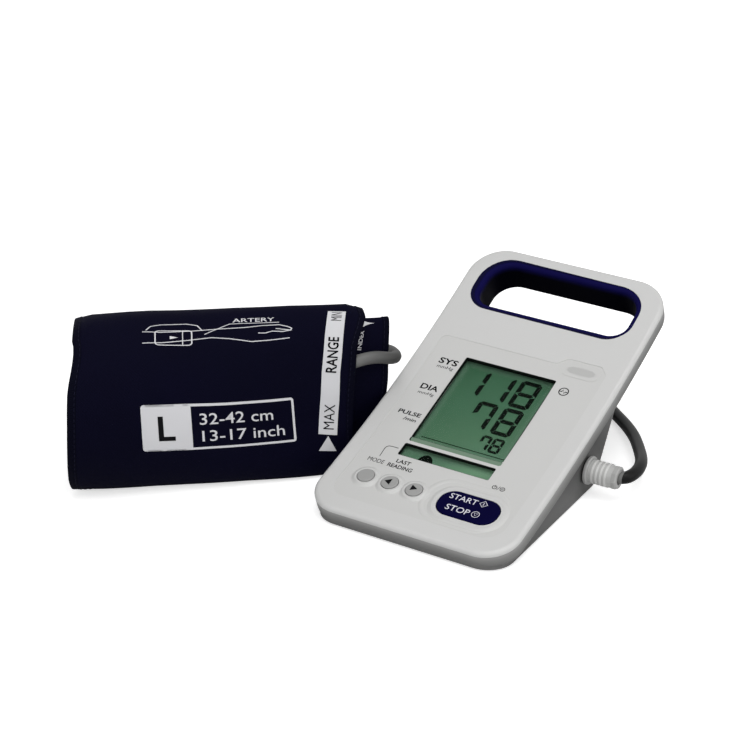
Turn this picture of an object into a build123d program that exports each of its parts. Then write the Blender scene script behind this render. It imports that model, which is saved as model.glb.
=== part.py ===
from build123d import *
import os
from math import atan2, copysign, cos, degrees, hypot, pi, radians, sin, sqrt, tan

os.makedirs("parts", exist_ok=True)

# ---------------------------------------------------------------------------
# Desk-type upper-arm blood pressure monitor with its cuff, in millimetres.
# +Z is up, the feet stand on Z = 0, X runs across the unit and +Y to its back.
# The origin is on the table under the middle of the front foot.
# The face is a concave arc that rises from the front edge to the carry handle:
# "s" is the distance along it from its front edge, "u" is across it and
# "depth" is measured square to it, into the housing.
# ---------------------------------------------------------------------------

# Housing
unit_width = 123.0
face_length = 216.0
front_tilt = 13.0
rear_tilt = 27.5
front_y = -12.0
front_height = 12.2
cover_height = 3.0
band_height = 8.8
wall = 2.2
seam = 0.2
fit = 0.15
front_corner = 19.0
rear_corner = 21.5
cover_round = 2.4
band_round = 2.6
lip_depth = 5.5
lip_wall = 1.4

# Wedge foot under the slab and grip hump behind the handle
base_height = 1.0
wedge_inset = 3.5
wedge_front = front_y + 3.2
wedge_rear = 110.0
wedge_lean = 32.0
wedge_rear_corner = 9.0
hump_depth = 19.0
hump_inset = 7.5
hump_corner = 16.0
hump_round = 3.0

# Carry handle opening
handle_width = 100.0
handle_front = 169.8
handle_back = 207.9
handle_low_corner = 13.0
handle_high_corner = 17.0
liner_wall = 3.0
liner_round = 2.4

# Control panel and its windows
panel_base = 80.0
panel_recess = 1.05
panel_thick = 0.8
panel_half_width = 51.3
panel_low = 11.5
panel_high = 144.0
panel_tab_high = 149.4
panel_tab_foot = 21.0
panel_tab_left = 26.0
panel_tab_right = 46.6
panel_corners = [9.0, 12.0, 1.5, 3.0, 3.0, 3.0, 3.5]
glass_u = -1.8
glass_s = 99.25
glass_width = 56.8
glass_height = 65.9
strip_u = -2.6
strip_s = 56.4
strip_width = 56.2
strip_height = 9.6
window_corner = 1.0
lamp_u = 36.8
lamp_s = 142.4
lamp_width = 17.0
lamp_height = 5.0

# Buttons
button_s = 29.5
button_pitch = 15.0
first_button_u = -37.6
cap_radius = 4.8
cap_rise = 1.5
cap_round = 0.6
rim_radius = 6.25
rim_rise = 0.8
cap_gap = 0.3
start_u = 25.9
start_s = 28.5
start_width = 35.6
start_height = 18.5
start_corner = 8.4
start_rise = 1.1
start_round = 0.8
start_rim = 2.8
start_rim_rise = 0.5
flange_reach = 1.2
flange_top = 2.4
flange_bottom = 3.2
stem_radius = 2.0
travel = 0.6

# Display and circuit board, flat and square to the face at board_s
board_s = 92.0
board_depth = 9.0
board_thick = 1.6
board_half_width = 47.5
board_low = -72.0
board_high = 54.0
lens_top = 2.3
lens_thick = 1.2
cell_top = 3.9
cell_thick = 2.4
cell_u = -2.0
cell_width = 62.0
cell_height = 88.0
holder_wall = 3.5
switch_size = 6.0
switch_height = 3.5
plunger_radius = 1.7
plunger_height = 0.8
start_switch_reach = 10.0
lens_lap = 1.0
led_size = (4.6, 3.0, 4.2)
contact_width = 2.4
contact_margin = 3.0
chip_places = [(-20.0, 14.0), (2.0, 16.0), (-2.0, 34.0)]
chip_sizes = [(12.0, 12.0, 1.4), (8.0, 6.0, 1.2), (6.0, 5.0, 1.2)]
buzzer_margin = 17.5
buzzer_v = -42.0
buzzer_radius = 6.0
buzzer_height = 4.5
sensor_margin = 9.5
sensor_v = -38.0
sensor_size = 8.0
sensor_height = 4.5

# Case screws, two in front and two behind
screw_front = (40.0, 0.0)
screw_rear = (51.0, 100.0)
boss_radius = 3.2
boss_top = 8.0
post_radius = 3.0
head_radius = 2.4
head_height = 1.6
head_seat = 4.0
shank_radius = 1.3
shank_top = 11.0

# Power and air parts in the wedge
cell_radius = 7.1
battery_cell_length = 50.0
battery_pitch = 14.5
battery_middle = (-14.0, 78.75)
battery_axis_z = 10.8
battery_slack = 0.7
bay_slack = 1.2
bay_wall = 1.2
bay_top = 9.0
link_reach = 5.25
link_height = 8.0
link_thick = 0.5
pad_width = 50.0
pad_length = 40.0
hatch_width = 63.0
hatch_length = 56.0
hatch_thick = 1.5
hatch_gap = 0.2
hatch_lap = 0.1
grip_width = 16.0
grip_slot = 0.8
grip_pitch = 1.6
grip_depth = 0.5
grip_inset = 4.5
foot_width = 9.0
foot_radius = 4.4
pump_y = 88.0
pump_z = 16.2
pump_left = 18.5
motor_radius = 10.5
motor_length = 16.0
head_pump_radius = 12.0
head_pump_length = 12.0
pump_outlet_inset = 6.0
boss_reach = 0.8
nozzle_radius = 1.4
nozzle_reach = 3.0
tube_radius = 2.4
tube_gap = 0.1
manifold_y = 66.0
manifold_left = 20.0
manifold_width = 33.5
manifold_depth = 5.0
manifold_top = 18.3
valve_z = 9.0
exhaust_x = 29.0
exhaust_width = 10.0
exhaust_length = 12.5
exhaust_gap = 3.5
exhaust_top = 15.0
bleed_x = 43.0
bleed_radius = 4.0
bleed_gap = 5.0
bleed_top = 13.0
socket_y = 91.3
socket_z = 15.7
socket_radius = 4.6
socket_back = 48.2
socket_outlet_x = 51.0
socket_flange = 6.5
socket_bore = 3.0
jack_x = 34.5
jack_z = 12.0
jack_size = (10.0, 9.0, 11.0)
jack_radius = 3.05
jack_bore = 2.2
jack_pin = 0.6
plug_start = 52.5
spigot_radius = 2.9
ring_radius = 8.0
ring_gap = 0.9
ring_thick = 2.4
grip_radius = 6.3
rib_radius = 6.7
rib_pitch = 2.6
rib_width = 1.2
hose_seat = 70.0
plug_end = 75.0
cap_length = 3.0
cap_half_width = 6.1
case_side = unit_width / 2 - wedge_inset

# Air hose
hose_diameter = 7.0
hose_radius = hose_diameter / 2
hose_length = 1300.0
coil_middle = (-30.0, 178.0)
coil_radius = 40.0

# Cuff, rolled on a bowed axis that starts at its left end
cuff_start = (-189.7, -38.1)
cuff_heading = (33.4, 53.3)
cuff_length = 154.0
cuff_half_depth = (32.9, 15.4)
cuff_half_height = (49.0, 44.9)
cuff_lean = 0.123
wrap_thick = 1.8
tape = 4.0
inner_start = 18.0
inner_end = 174.6
inner_depth_cut = 6.5
inner_back_shift = 3.2
inner_height_cut = (5.6, 7.4)
inner_rest = (4.4, 5.2)
inner_wall = (4.8, 1.9)
bladder_low = 10.0
patch_span = (25.0, 135.0)
patch_heights = (12.0, 42.0)
patch_thick = 0.9
nipple_s = 142.0
nipple_z = 58.4
nipple_w = -7.7
nipple_radius = 4.0
barb_radius = 2.6
hose_start_s = 147.0

face_radius = face_length / radians(rear_tilt - front_tilt)
arc_y = front_y - face_radius * sin(radians(front_tilt))
arc_z = front_height + face_radius * cos(radians(front_tilt))
slab_depth = cover_height + band_height
mid_s = face_length / 2
reach = 90.0


def tilt_at(s):
    """Slope of the face, in degrees, at the distance s from its front edge."""
    return front_tilt + degrees(s / face_radius)


def side_point(s, depth=0.0):
    """Side-view position (Y, Z) of a point of the face or under it."""
    angle = radians(tilt_at(s))
    radius = face_radius + depth
    return (arc_y + radius * sin(angle), arc_z - radius * cos(angle))


def face_plane(s, depth=0.0, u=0.0):
    """Plane square to the face: X across the unit, Y up the face and Z out of it."""
    angle = radians(tilt_at(s))
    y, z = side_point(s, depth)
    return Plane(origin=(u, y, z), x_dir=(1, 0, 0), z_dir=(0, -sin(angle), cos(angle)))


def up_plane(s, base):
    """Height of a point of the face on the plane that is square to the face at base."""
    return face_radius * sin(radians(tilt_at(s) - tilt_at(base)))


plan_plane = face_plane(mid_s)
plan_axis = Axis(plan_plane.origin, plan_plane.z_dir)


def band_profile(top, bottom, start=-30.0, end=face_length + 30.0):
    """Side profile of the layer between two depths."""
    middle = (start + end) / 2
    with BuildLine() as profile:
        ThreePointArc(side_point(start, top), side_point(middle, top), side_point(end, top))
        Line(side_point(end, top), side_point(end, bottom))
        ThreePointArc(side_point(end, bottom), side_point(middle, bottom), side_point(start, bottom))
        Line(side_point(start, bottom), side_point(start, top))
    return profile.edges()


def layer(shape, top, bottom):
    """Solid of a sketch drawn on a face plane, kept between two depths under the face."""
    with BuildPart() as block:
        with BuildSketch(Plane.YZ):
            make_face(band_profile(top, bottom))
        extrude(amount=unit_width, both=True)
        extrude(shape, amount=reach, both=True, mode=Mode.INTERSECT)
    return block.part


def plan_sketch(plane, half_width, low, high, low_corner, high_corner):
    """Rectangle with one radius at its low corners and another at its high ones."""
    with BuildSketch(plane) as plan:
        with Locations((0, (low + high) / 2)):
            Rectangle(2 * half_width, high - low)
        fillet(plan.vertices().group_by(Axis.Y)[0], low_corner)
        fillet(plan.vertices().group_by(Axis.Y)[-1], high_corner)
    return plan.sketch


def slab_block(top, bottom, inset=0.0):
    """Block of the slab's outline, set in by a wall, between two depths."""
    outline = plan_sketch(
        Plane.XY,
        unit_width / 2 - inset,
        up_plane(0, mid_s) + inset,
        up_plane(face_length, mid_s) - inset,
        front_corner - inset,
        rear_corner - inset,
    )
    return layer(plan_plane.from_local_coords(outline), top, bottom)


def handle_block(grow, top, bottom):
    """Plug of the handle opening's outline, grown by a margin, between two depths."""
    base = (handle_front + handle_back) / 2
    half = (handle_back - handle_front) / 2 + grow
    outline = plan_sketch(
        Plane.XY, handle_width / 2 + grow, -half, half,
        handle_low_corner + grow, handle_high_corner + grow,
    )
    return layer(face_plane(base).from_local_coords(outline), top, bottom)


def wedge_block(inset):
    """Wedge foot under the slab, set in by a wall thickness."""
    low = base_height + inset
    lean = tan(radians(wedge_lean))
    rear_low = wedge_rear - inset / cos(radians(wedge_lean)) + lean * inset
    top_height = side_point(face_length)[1]
    outline = plan_sketch(
        Plane.XY,
        case_side - inset,
        wedge_front + inset,
        2 * face_length,
        front_corner - wedge_inset - inset,
        1.0,
    )
    with BuildPart() as block:
        with BuildSketch(Plane.YZ):
            with BuildLine():
                Polyline(
                    (wedge_front + inset, low),
                    (rear_low, low),
                    (rear_low + lean * (top_height - low), top_height),
                    (wedge_front + inset, top_height),
                    close=True,
                )
            make_face()
        extrude(amount=unit_width, both=True)
        with BuildSketch(Plane.YZ):
            make_face(band_profile(cover_height + wall, face_length))
        extrude(amount=unit_width, both=True, mode=Mode.INTERSECT)
        extrude(outline, amount=2 * top_height, mode=Mode.INTERSECT)
        fillet(block.edges().filter_by(Axis((0, 0, 0), (0, lean, 1))), wedge_rear_corner - inset)
    return block.part


def hump_block(inset):
    """Grip hump behind the handle opening, set in by a wall thickness."""
    outline = plan_sketch(
        Plane.XY,
        unit_width / 2 - hump_inset - inset,
        0.0,
        up_plane(face_length, mid_s) - hump_inset - inset,
        1.0,
        hump_corner - inset,
    )
    return layer(plan_plane.from_local_coords(outline), cover_height + wall, hump_depth - inset)



def rounded_on_face(u, s, width, height, corner, base):
    """Rounded rectangle centred at (u, s), drawn on the plane square to the face at base."""
    with BuildSketch(face_plane(base)) as shape:
        with Locations((u, up_plane(s, base))):
            RectangleRounded(width, height, corner)
    return shape.sketch


def disc_on_face(u, radius):
    """Disc of a small button, drawn on the plane square to the face at the button row."""
    with BuildSketch(face_plane(button_s)) as shape:
        with Locations((u, 0)):
            Circle(radius)
    return shape.sketch


def start_shape(grow):
    """Outline of the start button, grown by a margin."""
    return rounded_on_face(
        start_u, start_s, start_width + 2 * grow, start_height + 2 * grow, start_corner + grow, start_s
    )


def post(x, y, radius, low, high):
    """Upright cylinder between two heights."""
    with BuildPart() as cylinder:
        with BuildSketch(Plane.XY.offset(low)):
            with Locations((x, y)):
                Circle(radius)
        extrude(amount=high - low)
    return cylinder.part


def rod(start, end, radius, bore=0.0):
    """Cylinder from one point to another, with a bore if one is given."""
    span = Vector(end) - Vector(start)
    with BuildPart() as cylinder:
        with BuildSketch(Plane(origin=start, z_dir=span)):
            Circle(radius)
            if bore:
                Circle(bore, mode=Mode.SUBTRACT)
        extrude(amount=span.length)
    return cylinder.part


def block(low, high):
    """Box between two corners."""
    with BuildPart() as box:
        with BuildSketch(Plane.XY.offset(low[2])):
            with Locations(((low[0] + high[0]) / 2, (low[1] + high[1]) / 2)):
                Rectangle(high[0] - low[0], high[1] - low[1])
        extrude(amount=high[2] - low[2])
    return box.part


def plate(u, v, width, height, top, thick):
    """Flat plate parallel to the board, centred at (u, v) on it, under a depth."""
    with BuildPart() as sheet:
        with BuildSketch(face_plane(board_s, top + thick)):
            with Locations((u, v)):
                Rectangle(width, height)
        extrude(amount=thick)
    return sheet.part


small_buttons = {
    "mode_button": first_button_u,
    "left_button": first_button_u + button_pitch,
    "right_button": first_button_u + 2 * button_pitch,
}
screw_places = [(side * x, y) for x, y in (screw_front, screw_rear) for side in (-1, 1)]
hatch_x, hatch_y = battery_middle
hatch_bottom = base_height
floor_top = base_height + wall

# --- sketches shared by the cover and what sits in it ------------------------
with BuildSketch(face_plane(panel_base)) as panel_outline:
    with BuildLine():
        FilletPolyline(
            (-panel_half_width, up_plane(panel_low, panel_base)),
            (panel_half_width, up_plane(panel_low, panel_base)),
            (panel_half_width, up_plane(panel_high, panel_base)),
            (panel_tab_right, up_plane(panel_tab_high, panel_base)),
            (panel_tab_left, up_plane(panel_tab_high, panel_base)),
            (panel_tab_foot, up_plane(panel_high, panel_base)),
            (-panel_half_width, up_plane(panel_high, panel_base)),
            radius=panel_corners,
            close=True,
        )
    make_face()
glass_opening = rounded_on_face(glass_u, glass_s, glass_width, glass_height, window_corner, board_s)
strip_opening = rounded_on_face(strip_u, strip_s, strip_width, strip_height, window_corner, board_s)


def lamp_shape(grow):
    """Oval of the indicator lamp, grown by a margin."""
    width = lamp_width + 2 * grow
    height = lamp_height + 2 * grow
    return rounded_on_face(lamp_u, lamp_s, width, height, height / 2 - 0.01, lamp_s)


# --- front cover --------------------------------------------------------------
with BuildPart() as front_case:
    add(slab_block(0.0, cover_height))
    fillet(front_case.faces().sort_by(SortBy.AREA)[-2:].sort_by(plan_axis)[-1].edges(), cover_round)
    add(slab_block(wall, cover_height + 5, wall + 2), mode=Mode.SUBTRACT)
    add(
        slab_block(wall - 0.5, lip_depth, wall + fit)
        - slab_block(wall - 1, lip_depth + 1, wall + fit + lip_wall)
    )
    for x, y in screw_places:
        add(post(x, y, post_radius, boss_top + 0.05, side_point(y - front_y)[1] - 1.2))
    add(layer(panel_outline.sketch, -5.0, panel_recess), mode=Mode.SUBTRACT)
    for u in small_buttons.values():
        add(layer(disc_on_face(u, rim_radius), -rim_rise, wall))
        add(layer(disc_on_face(u, cap_radius + cap_gap), -5.0, wall + 1), mode=Mode.SUBTRACT)
    add(layer(start_shape(start_rim), -start_rim_rise, wall))
    add(layer(start_shape(cap_gap), -5.0, wall + 1), mode=Mode.SUBTRACT)
    add(layer(glass_opening, -5.0, wall + 1), mode=Mode.SUBTRACT)
    add(layer(strip_opening, -5.0, wall + 1), mode=Mode.SUBTRACT)
    add(layer(lamp_shape(fit), -5.0, wall + 1), mode=Mode.SUBTRACT)
    add(handle_block(0.0, -5.0, lip_depth + 2), mode=Mode.SUBTRACT)
    for x, y in screw_places:
        add(post(x, y, shank_radius, boss_top, shank_top + 0.5), mode=Mode.SUBTRACT)
front_case.part.label = "front_case"
export_step(front_case.part, "parts/front_case.step")

# --- rear case ----------------------------------------------------------------
with BuildPart() as rear_case:
    add(slab_block(cover_height + seam, slab_depth))
    fillet(rear_case.faces().sort_by(SortBy.AREA)[-2:].sort_by(plan_axis)[0].edges(), band_round)
    add(wedge_block(0.0))
    add(hump_block(0.0))
    add(slab_block(cover_height - 1, slab_depth - wall, wall), mode=Mode.SUBTRACT)
    add(wedge_block(wall), mode=Mode.SUBTRACT)
    add(hump_block(wall), mode=Mode.SUBTRACT)
    add(handle_block(0.0, 0.0, hump_depth + 5), mode=Mode.SUBTRACT)
    for x, y in screw_places:
        add(post(x, y, boss_radius, base_height, boss_top))
        add(post(x, y, head_radius + 0.3, base_height - 1, head_seat), mode=Mode.SUBTRACT)
        add(post(x, y, shank_radius + 0.2, base_height, boss_top + 1), mode=Mode.SUBTRACT)
    # battery bay: an upstand round the pack, the hatch recess and its opening
    bay_x = battery_pitch * 2 + battery_slack
    bay_y = battery_cell_length / 2 + bay_slack
    add(
        block(
            (hatch_x - bay_x - bay_wall, hatch_y - bay_y - bay_wall, base_height),
            (hatch_x + bay_x + bay_wall, hatch_y + bay_y + bay_wall, bay_top),
        )
        - block((hatch_x - bay_x, hatch_y - bay_y, 0), (hatch_x + bay_x, hatch_y + bay_y, bay_top + 1))
    )
    add(
        block(
            (hatch_x - hatch_width / 2, hatch_y - hatch_length / 2, 0.0),
            (hatch_x + hatch_width / 2, hatch_y + hatch_length / 2, hatch_bottom + hatch_thick + hatch_lap),
        ),
        mode=Mode.SUBTRACT,
    )
    add(
        block((hatch_x - bay_x, hatch_y - bay_y, 0.0), (hatch_x + bay_x, hatch_y + bay_y, floor_top + 0.8)),
        mode=Mode.SUBTRACT,
    )
    # air socket hole in the side wall and power jack hole in the rear wall
    add(
        rod((socket_back, socket_y, socket_z), (unit_width, socket_y, socket_z), socket_radius + fit),
        mode=Mode.SUBTRACT,
    )
    add(
        rod((jack_x, wedge_rear, jack_z), (jack_x, wedge_rear + 20, jack_z), jack_radius + fit),
        mode=Mode.SUBTRACT,
    )
rear_case.part.label = "rear_case"
export_step(rear_case.part, "parts/rear_case.step")

# --- handle liner, panel, lens and lamp ----------------------------------------
with BuildPart() as handle_liner:
    add(handle_block(-fit, 0.2, hump_depth))
    add(handle_block(-fit - liner_wall, -1.0, hump_depth + 1), mode=Mode.SUBTRACT)
    inner_rim = handle_liner.faces().sort_by(plan_axis)[-1].inner_wires()[0]
    fillet(inner_rim.edges(), liner_round)
handle_liner.part.label = "handle_liner"
export_step(handle_liner.part, "parts/handle_liner.step")

with BuildPart() as display_panel:
    add(layer(panel_outline.sketch, panel_recess - panel_thick, panel_recess))
    add(layer(glass_opening, -1.0, panel_recess + 1), mode=Mode.SUBTRACT)
    add(layer(strip_opening, -1.0, panel_recess + 1), mode=Mode.SUBTRACT)
    add(layer(lamp_shape(fit), -1.0, panel_recess + 1), mode=Mode.SUBTRACT)
    add(layer(start_shape(start_rim + fit), -1.0, panel_recess + 1), mode=Mode.SUBTRACT)
    for u in small_buttons.values():
        add(layer(disc_on_face(u, rim_radius + fit), -1.0, panel_recess + 1), mode=Mode.SUBTRACT)
display_panel.part.label = "display_panel"
export_step(display_panel.part, "parts/display_panel.step")

lens_outline = rounded_on_face(
    cell_u, board_s, cell_width + 2 * lens_lap, cell_height, 2 * window_corner, board_s
)
with BuildPart() as display_window:
    add(layer(lens_outline, lens_top, lens_top + lens_thick))
display_window.part.label = "display_window"
export_step(display_window.part, "parts/display_window.step")

with BuildPart() as indicator_window:
    add(layer(lamp_shape(0.0), 0.1, 6.2))
    add(layer(lamp_shape(flange_reach), wall + 0.1, wall + 0.9))
indicator_window.part.label = "indicator_window"
export_step(indicator_window.part, "parts/indicator_window.step")

with BuildPart() as indicator_led:
    led_width, led_height, led_rise = led_size
    add(plate(lamp_u, up_plane(lamp_s, board_s), led_width, led_height, board_depth - led_rise, led_rise))
indicator_led.part.label = "indicator_led"
export_step(indicator_led.part, "parts/indicator_led.step")

# --- display and board -----------------------------------------------------------
with BuildPart() as lcd_cell:
    add(plate(cell_u, 0.0, cell_width, cell_height, cell_top, cell_thick))
lcd_cell.part.label = "lcd_cell"
export_step(lcd_cell.part, "parts/lcd_cell.step")

with BuildPart() as lcd_holder:
    add(
        plate(
            cell_u, 0.0, cell_width + 2 * holder_wall, cell_height + 2 * holder_wall,
            cell_top, board_depth - cell_top,
        )
    )
    add(
        plate(
            cell_u, 0.0, cell_width + 2 * fit, cell_height + 2 * fit,
            cell_top - 1, board_depth - cell_top + 2,
        ),
        mode=Mode.SUBTRACT,
    )
lcd_holder.part.label = "lcd_holder"
export_step(lcd_holder.part, "parts/lcd_holder.step")

with BuildPart() as lcd_contact_strips:
    for side in (-1, 1):
        strip_v = side * (cell_height - contact_width - 1.6) / 2
        strip_top = cell_top + cell_thick
        strip_length = cell_width - 2 * contact_margin
        add(plate(cell_u, strip_v, strip_length, contact_width, strip_top, board_depth - strip_top))
lcd_contact_strips.part.label = "lcd_contact_strips"
export_step(lcd_contact_strips.part, "parts/lcd_contact_strips.step")

with BuildPart() as main_board:
    with BuildSketch(face_plane(board_s, board_depth + board_thick)):
        with Locations((0, (board_low + board_high) / 2)):
            RectangleRounded(2 * board_half_width, board_high - board_low, 4.0)
    extrude(amount=board_thick)
main_board.part.label = "main_board"
export_step(main_board.part, "parts/main_board.step")

board_under = board_depth + board_thick
with BuildPart() as circuit_chips:
    for (chip_u, chip_v), (chip_width, chip_height, chip_thick) in zip(chip_places, chip_sizes):
        add(plate(chip_u, chip_v, chip_width, chip_height, board_under, chip_thick))
circuit_chips.part.label = "circuit_chips"
export_step(circuit_chips.part, "parts/circuit_chips.step")

with BuildPart() as buzzer:
    with BuildSketch(face_plane(board_s, board_under)):
        with Locations((buzzer_margin - board_half_width, buzzer_v)):
            Circle(buzzer_radius)
    extrude(amount=-buzzer_height)
buzzer.part.label = "buzzer"
export_step(buzzer.part, "parts/buzzer.step")

# --- buttons, each over its own switch -------------------------------------------
switch_v = up_plane(button_s, board_s)
start_switches = (start_u - start_switch_reach, start_u + start_switch_reach)
with BuildPart() as tact_switches:
    for u in (*small_buttons.values(), *start_switches):
        add(plate(u, switch_v, switch_size, switch_size, board_depth - switch_height, switch_height))
        with BuildSketch(face_plane(board_s, board_depth - switch_height)):
            with Locations((u, switch_v)):
                Circle(plunger_radius)
        extrude(amount=plunger_height)
tact_switches.part.label = "tact_switches"
export_step(tact_switches.part, "parts/tact_switches.step")

switch_sag = face_radius * (1 - cos(radians(tilt_at(board_s) - tilt_at(button_s))))
stem_end = board_depth + switch_sag - switch_height - plunger_height - travel - 0.15
button_axis = Axis(face_plane(button_s).origin, face_plane(button_s).z_dir)
for name, u in small_buttons.items():
    with BuildPart() as small_button:
        add(layer(disc_on_face(u, cap_radius), -cap_rise, flange_bottom))
        fillet(small_button.faces().sort_by(button_axis)[-1].edges(), cap_round)
        add(layer(disc_on_face(u, cap_radius + flange_reach), flange_top, flange_bottom))
        add(layer(disc_on_face(u, stem_radius), flange_bottom - 0.5, stem_end))
    small_button.part.label = name
    export_step(small_button.part, f"parts/{name}.step")

with BuildPart() as start_button:
    add(layer(start_shape(0.0), -start_rise, flange_bottom))
    fillet(start_button.faces().sort_by(button_axis)[-1].edges(), start_round)
    add(layer(start_shape(flange_reach), flange_top, flange_bottom))
    for u in start_switches:
        add(layer(disc_on_face(u, stem_radius), flange_bottom - 0.5, stem_end))
start_button.part.label = "start_button"
export_step(start_button.part, "parts/start_button.step")

# --- battery bay -------------------------------------------------------------------
with BuildPart() as battery_cells:
    for place in range(4):
        x = hatch_x + (place - 1.5) * battery_pitch
        rear = hatch_y + battery_cell_length / 2
        add(rod((x, rear - battery_cell_length, battery_axis_z), (x, rear, battery_axis_z), cell_radius))
battery_cells.part.label = "battery_cells"
export_step(battery_cells.part, "parts/battery_cells.step")

with BuildPart() as battery_links:
    for side in (-1, 1):
        end = hatch_y + side * battery_cell_length / 2
        low_y, high_y = sorted((end, end + side * link_thick))
        low_z = battery_axis_z - link_height / 2
        link_x = 1.5 * battery_pitch + link_reach
        add(block((hatch_x - link_x, low_y, low_z), (hatch_x + link_x, high_y, low_z + link_height)))
battery_links.part.label = "battery_links"
export_step(battery_links.part, "parts/battery_links.step")

hatch_top = hatch_bottom + hatch_thick
cells_bottom = battery_axis_z - cell_radius
with BuildPart() as battery_pad:
    add(
        block(
            (hatch_x - pad_width / 2, hatch_y - pad_length / 2, hatch_top),
            (hatch_x + pad_width / 2, hatch_y + pad_length / 2, cells_bottom),
        )
    )
battery_pad.part.label = "battery_pad"
export_step(battery_pad.part, "parts/battery_pad.step")

with BuildPart() as battery_cover:
    with BuildSketch(Plane.XY.offset(hatch_bottom)):
        with Locations((hatch_x, hatch_y)):
            Rectangle(hatch_width - 2 * hatch_gap, hatch_length - 2 * hatch_gap)
    extrude(amount=hatch_thick)
    with BuildSketch(Plane.XY.offset(hatch_bottom)):
        with Locations((hatch_x, hatch_y - hatch_length / 2 + grip_inset)):
            with GridLocations(0, grip_pitch, 1, 3):
                SlotOverall(grip_width, grip_slot)
    extrude(amount=grip_depth, mode=Mode.SUBTRACT)
battery_cover.part.label = "battery_cover"
export_step(battery_cover.part, "parts/battery_cover.step")

# --- case screws and feet -------------------------------------------------------------
with BuildPart() as case_screws:
    for x, y in screw_places:
        add(post(x, y, head_radius, head_seat - head_height, head_seat))
        add(post(x, y, shank_radius - 0.05, head_seat, shank_top))
case_screws.part.label = "case_screws"
export_step(case_screws.part, "parts/case_screws.step")

with BuildPart() as rubber_feet:
    with BuildSketch(Plane.XY):
        SlotOverall(2 * screw_front[0] + foot_width + 1, foot_width)
        with Locations((-screw_rear[0], screw_rear[1]), (screw_rear[0], screw_rear[1])):
            Circle(foot_radius)
    extrude(amount=base_height)
rubber_feet.part.label = "rubber_feet"
export_step(rubber_feet.part, "parts/rubber_feet.step")

# --- pump, valves and air path ------------------------------------------------------------
motor_end = pump_left + motor_length
with BuildPart() as pump_motor:
    add(rod((pump_left, pump_y, pump_z), (motor_end, pump_y, pump_z), motor_radius))
    add(rod((pump_left - boss_reach, pump_y, pump_z), (pump_left, pump_y, pump_z), nozzle_reach))
pump_motor.part.label = "pump_motor"
export_step(pump_motor.part, "parts/pump_motor.step")

with BuildPart() as pump_head:
    pump_end = motor_end + head_pump_length
    add(rod((motor_end, pump_y, pump_z), (pump_end, pump_y, pump_z), head_pump_radius))
    outlet_x = pump_end - pump_outlet_inset
    pump_front = pump_y - head_pump_radius
    add(rod((outlet_x, pump_front + 1, pump_z), (outlet_x, pump_front - nozzle_reach, pump_z), nozzle_radius))
pump_head.part.label = "pump_head"
export_step(pump_head.part, "parts/pump_head.step")

manifold_rear = manifold_y + manifold_depth
manifold_right = manifold_left + manifold_width
exhaust_rear = manifold_y - exhaust_gap
bleed_rear = manifold_y - bleed_gap
with BuildPart() as air_manifold:
    add(block((manifold_left, manifold_y, floor_top), (manifold_right, manifold_rear, manifold_top)))
    for x, y, reach_y, z in (
        (outlet_x, manifold_rear, 1.2, pump_z),
        (socket_outlet_x, manifold_rear, nozzle_reach, socket_z),
        (bleed_x, manifold_y, -bleed_gap * 0.6, valve_z),
        (exhaust_x, manifold_y, -exhaust_gap * 0.4, valve_z),
    ):
        inside = y - copysign(1.0, reach_y)
        add(rod((x, inside, z), (x, y + reach_y, z), nozzle_radius))
air_manifold.part.label = "air_manifold"
export_step(air_manifold.part, "parts/air_manifold.step")

with BuildPart() as exhaust_valve:
    add(
        block(
            (exhaust_x - exhaust_width / 2, exhaust_rear - exhaust_length, floor_top),
            (exhaust_x + exhaust_width / 2, exhaust_rear, exhaust_top),
        )
    )
    nozzle_end = exhaust_rear + exhaust_gap * 0.5
    add(rod((exhaust_x, exhaust_rear - 1, valve_z), (exhaust_x, nozzle_end, valve_z), nozzle_radius))
exhaust_valve.part.label = "exhaust_valve"
export_step(exhaust_valve.part, "parts/exhaust_valve.step")

with BuildPart() as bleed_valve:
    add(post(bleed_x, bleed_rear - bleed_radius, bleed_radius, floor_top, bleed_top))
    nozzle_end = bleed_rear + bleed_gap * 0.35
    add(rod((bleed_x, bleed_rear - 1, valve_z), (bleed_x, nozzle_end, valve_z), nozzle_radius))
bleed_valve.part.label = "bleed_valve"
export_step(bleed_valve.part, "parts/bleed_valve.step")

with BuildPart() as air_tubes:
    for x, low_y, high_y, z in (
        (outlet_x, manifold_rear + tube_gap, pump_front - tube_gap, pump_z),
        (socket_outlet_x, manifold_rear + tube_gap, socket_y - socket_radius - tube_gap, socket_z),
        (bleed_x, bleed_rear + tube_gap, manifold_y - tube_gap, valve_z),
        (exhaust_x, exhaust_rear + tube_gap, manifold_y - tube_gap, valve_z),
    ):
        add(rod((x, low_y, z), (x, high_y, z), tube_radius, nozzle_radius + 0.05))
air_tubes.part.label = "air_tubes"
export_step(air_tubes.part, "parts/air_tubes.step")

with BuildPart() as pressure_sensor:
    sensor_u = board_half_width - sensor_margin
    add(plate(sensor_u, sensor_v, sensor_size, sensor_size, board_under, sensor_height))
pressure_sensor.part.label = "pressure_sensor"
export_step(pressure_sensor.part, "parts/pressure_sensor.step")

socket_mouth = case_side + 0.2
flange_x = case_side - wall - 0.1
with BuildPart() as air_socket:
    add(rod((socket_back, socket_y, socket_z), (socket_mouth, socket_y, socket_z), socket_radius))
    add(rod((flange_x - 1.7, socket_y, socket_z), (flange_x, socket_y, socket_z), socket_flange))
    outlet_y = socket_y - socket_radius
    add(
        rod(
            (socket_outlet_x, outlet_y + 0.6, socket_z),
            (socket_outlet_x, outlet_y - 2.5 * nozzle_reach, socket_z),
            nozzle_radius,
        )
    )
    bore_end = (case_side + 5, socket_y, socket_z)
    add(rod((socket_outlet_x, socket_y, socket_z), bore_end, socket_bore), mode=Mode.SUBTRACT)
air_socket.part.label = "air_socket"
export_step(air_socket.part, "parts/air_socket.step")

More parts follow.
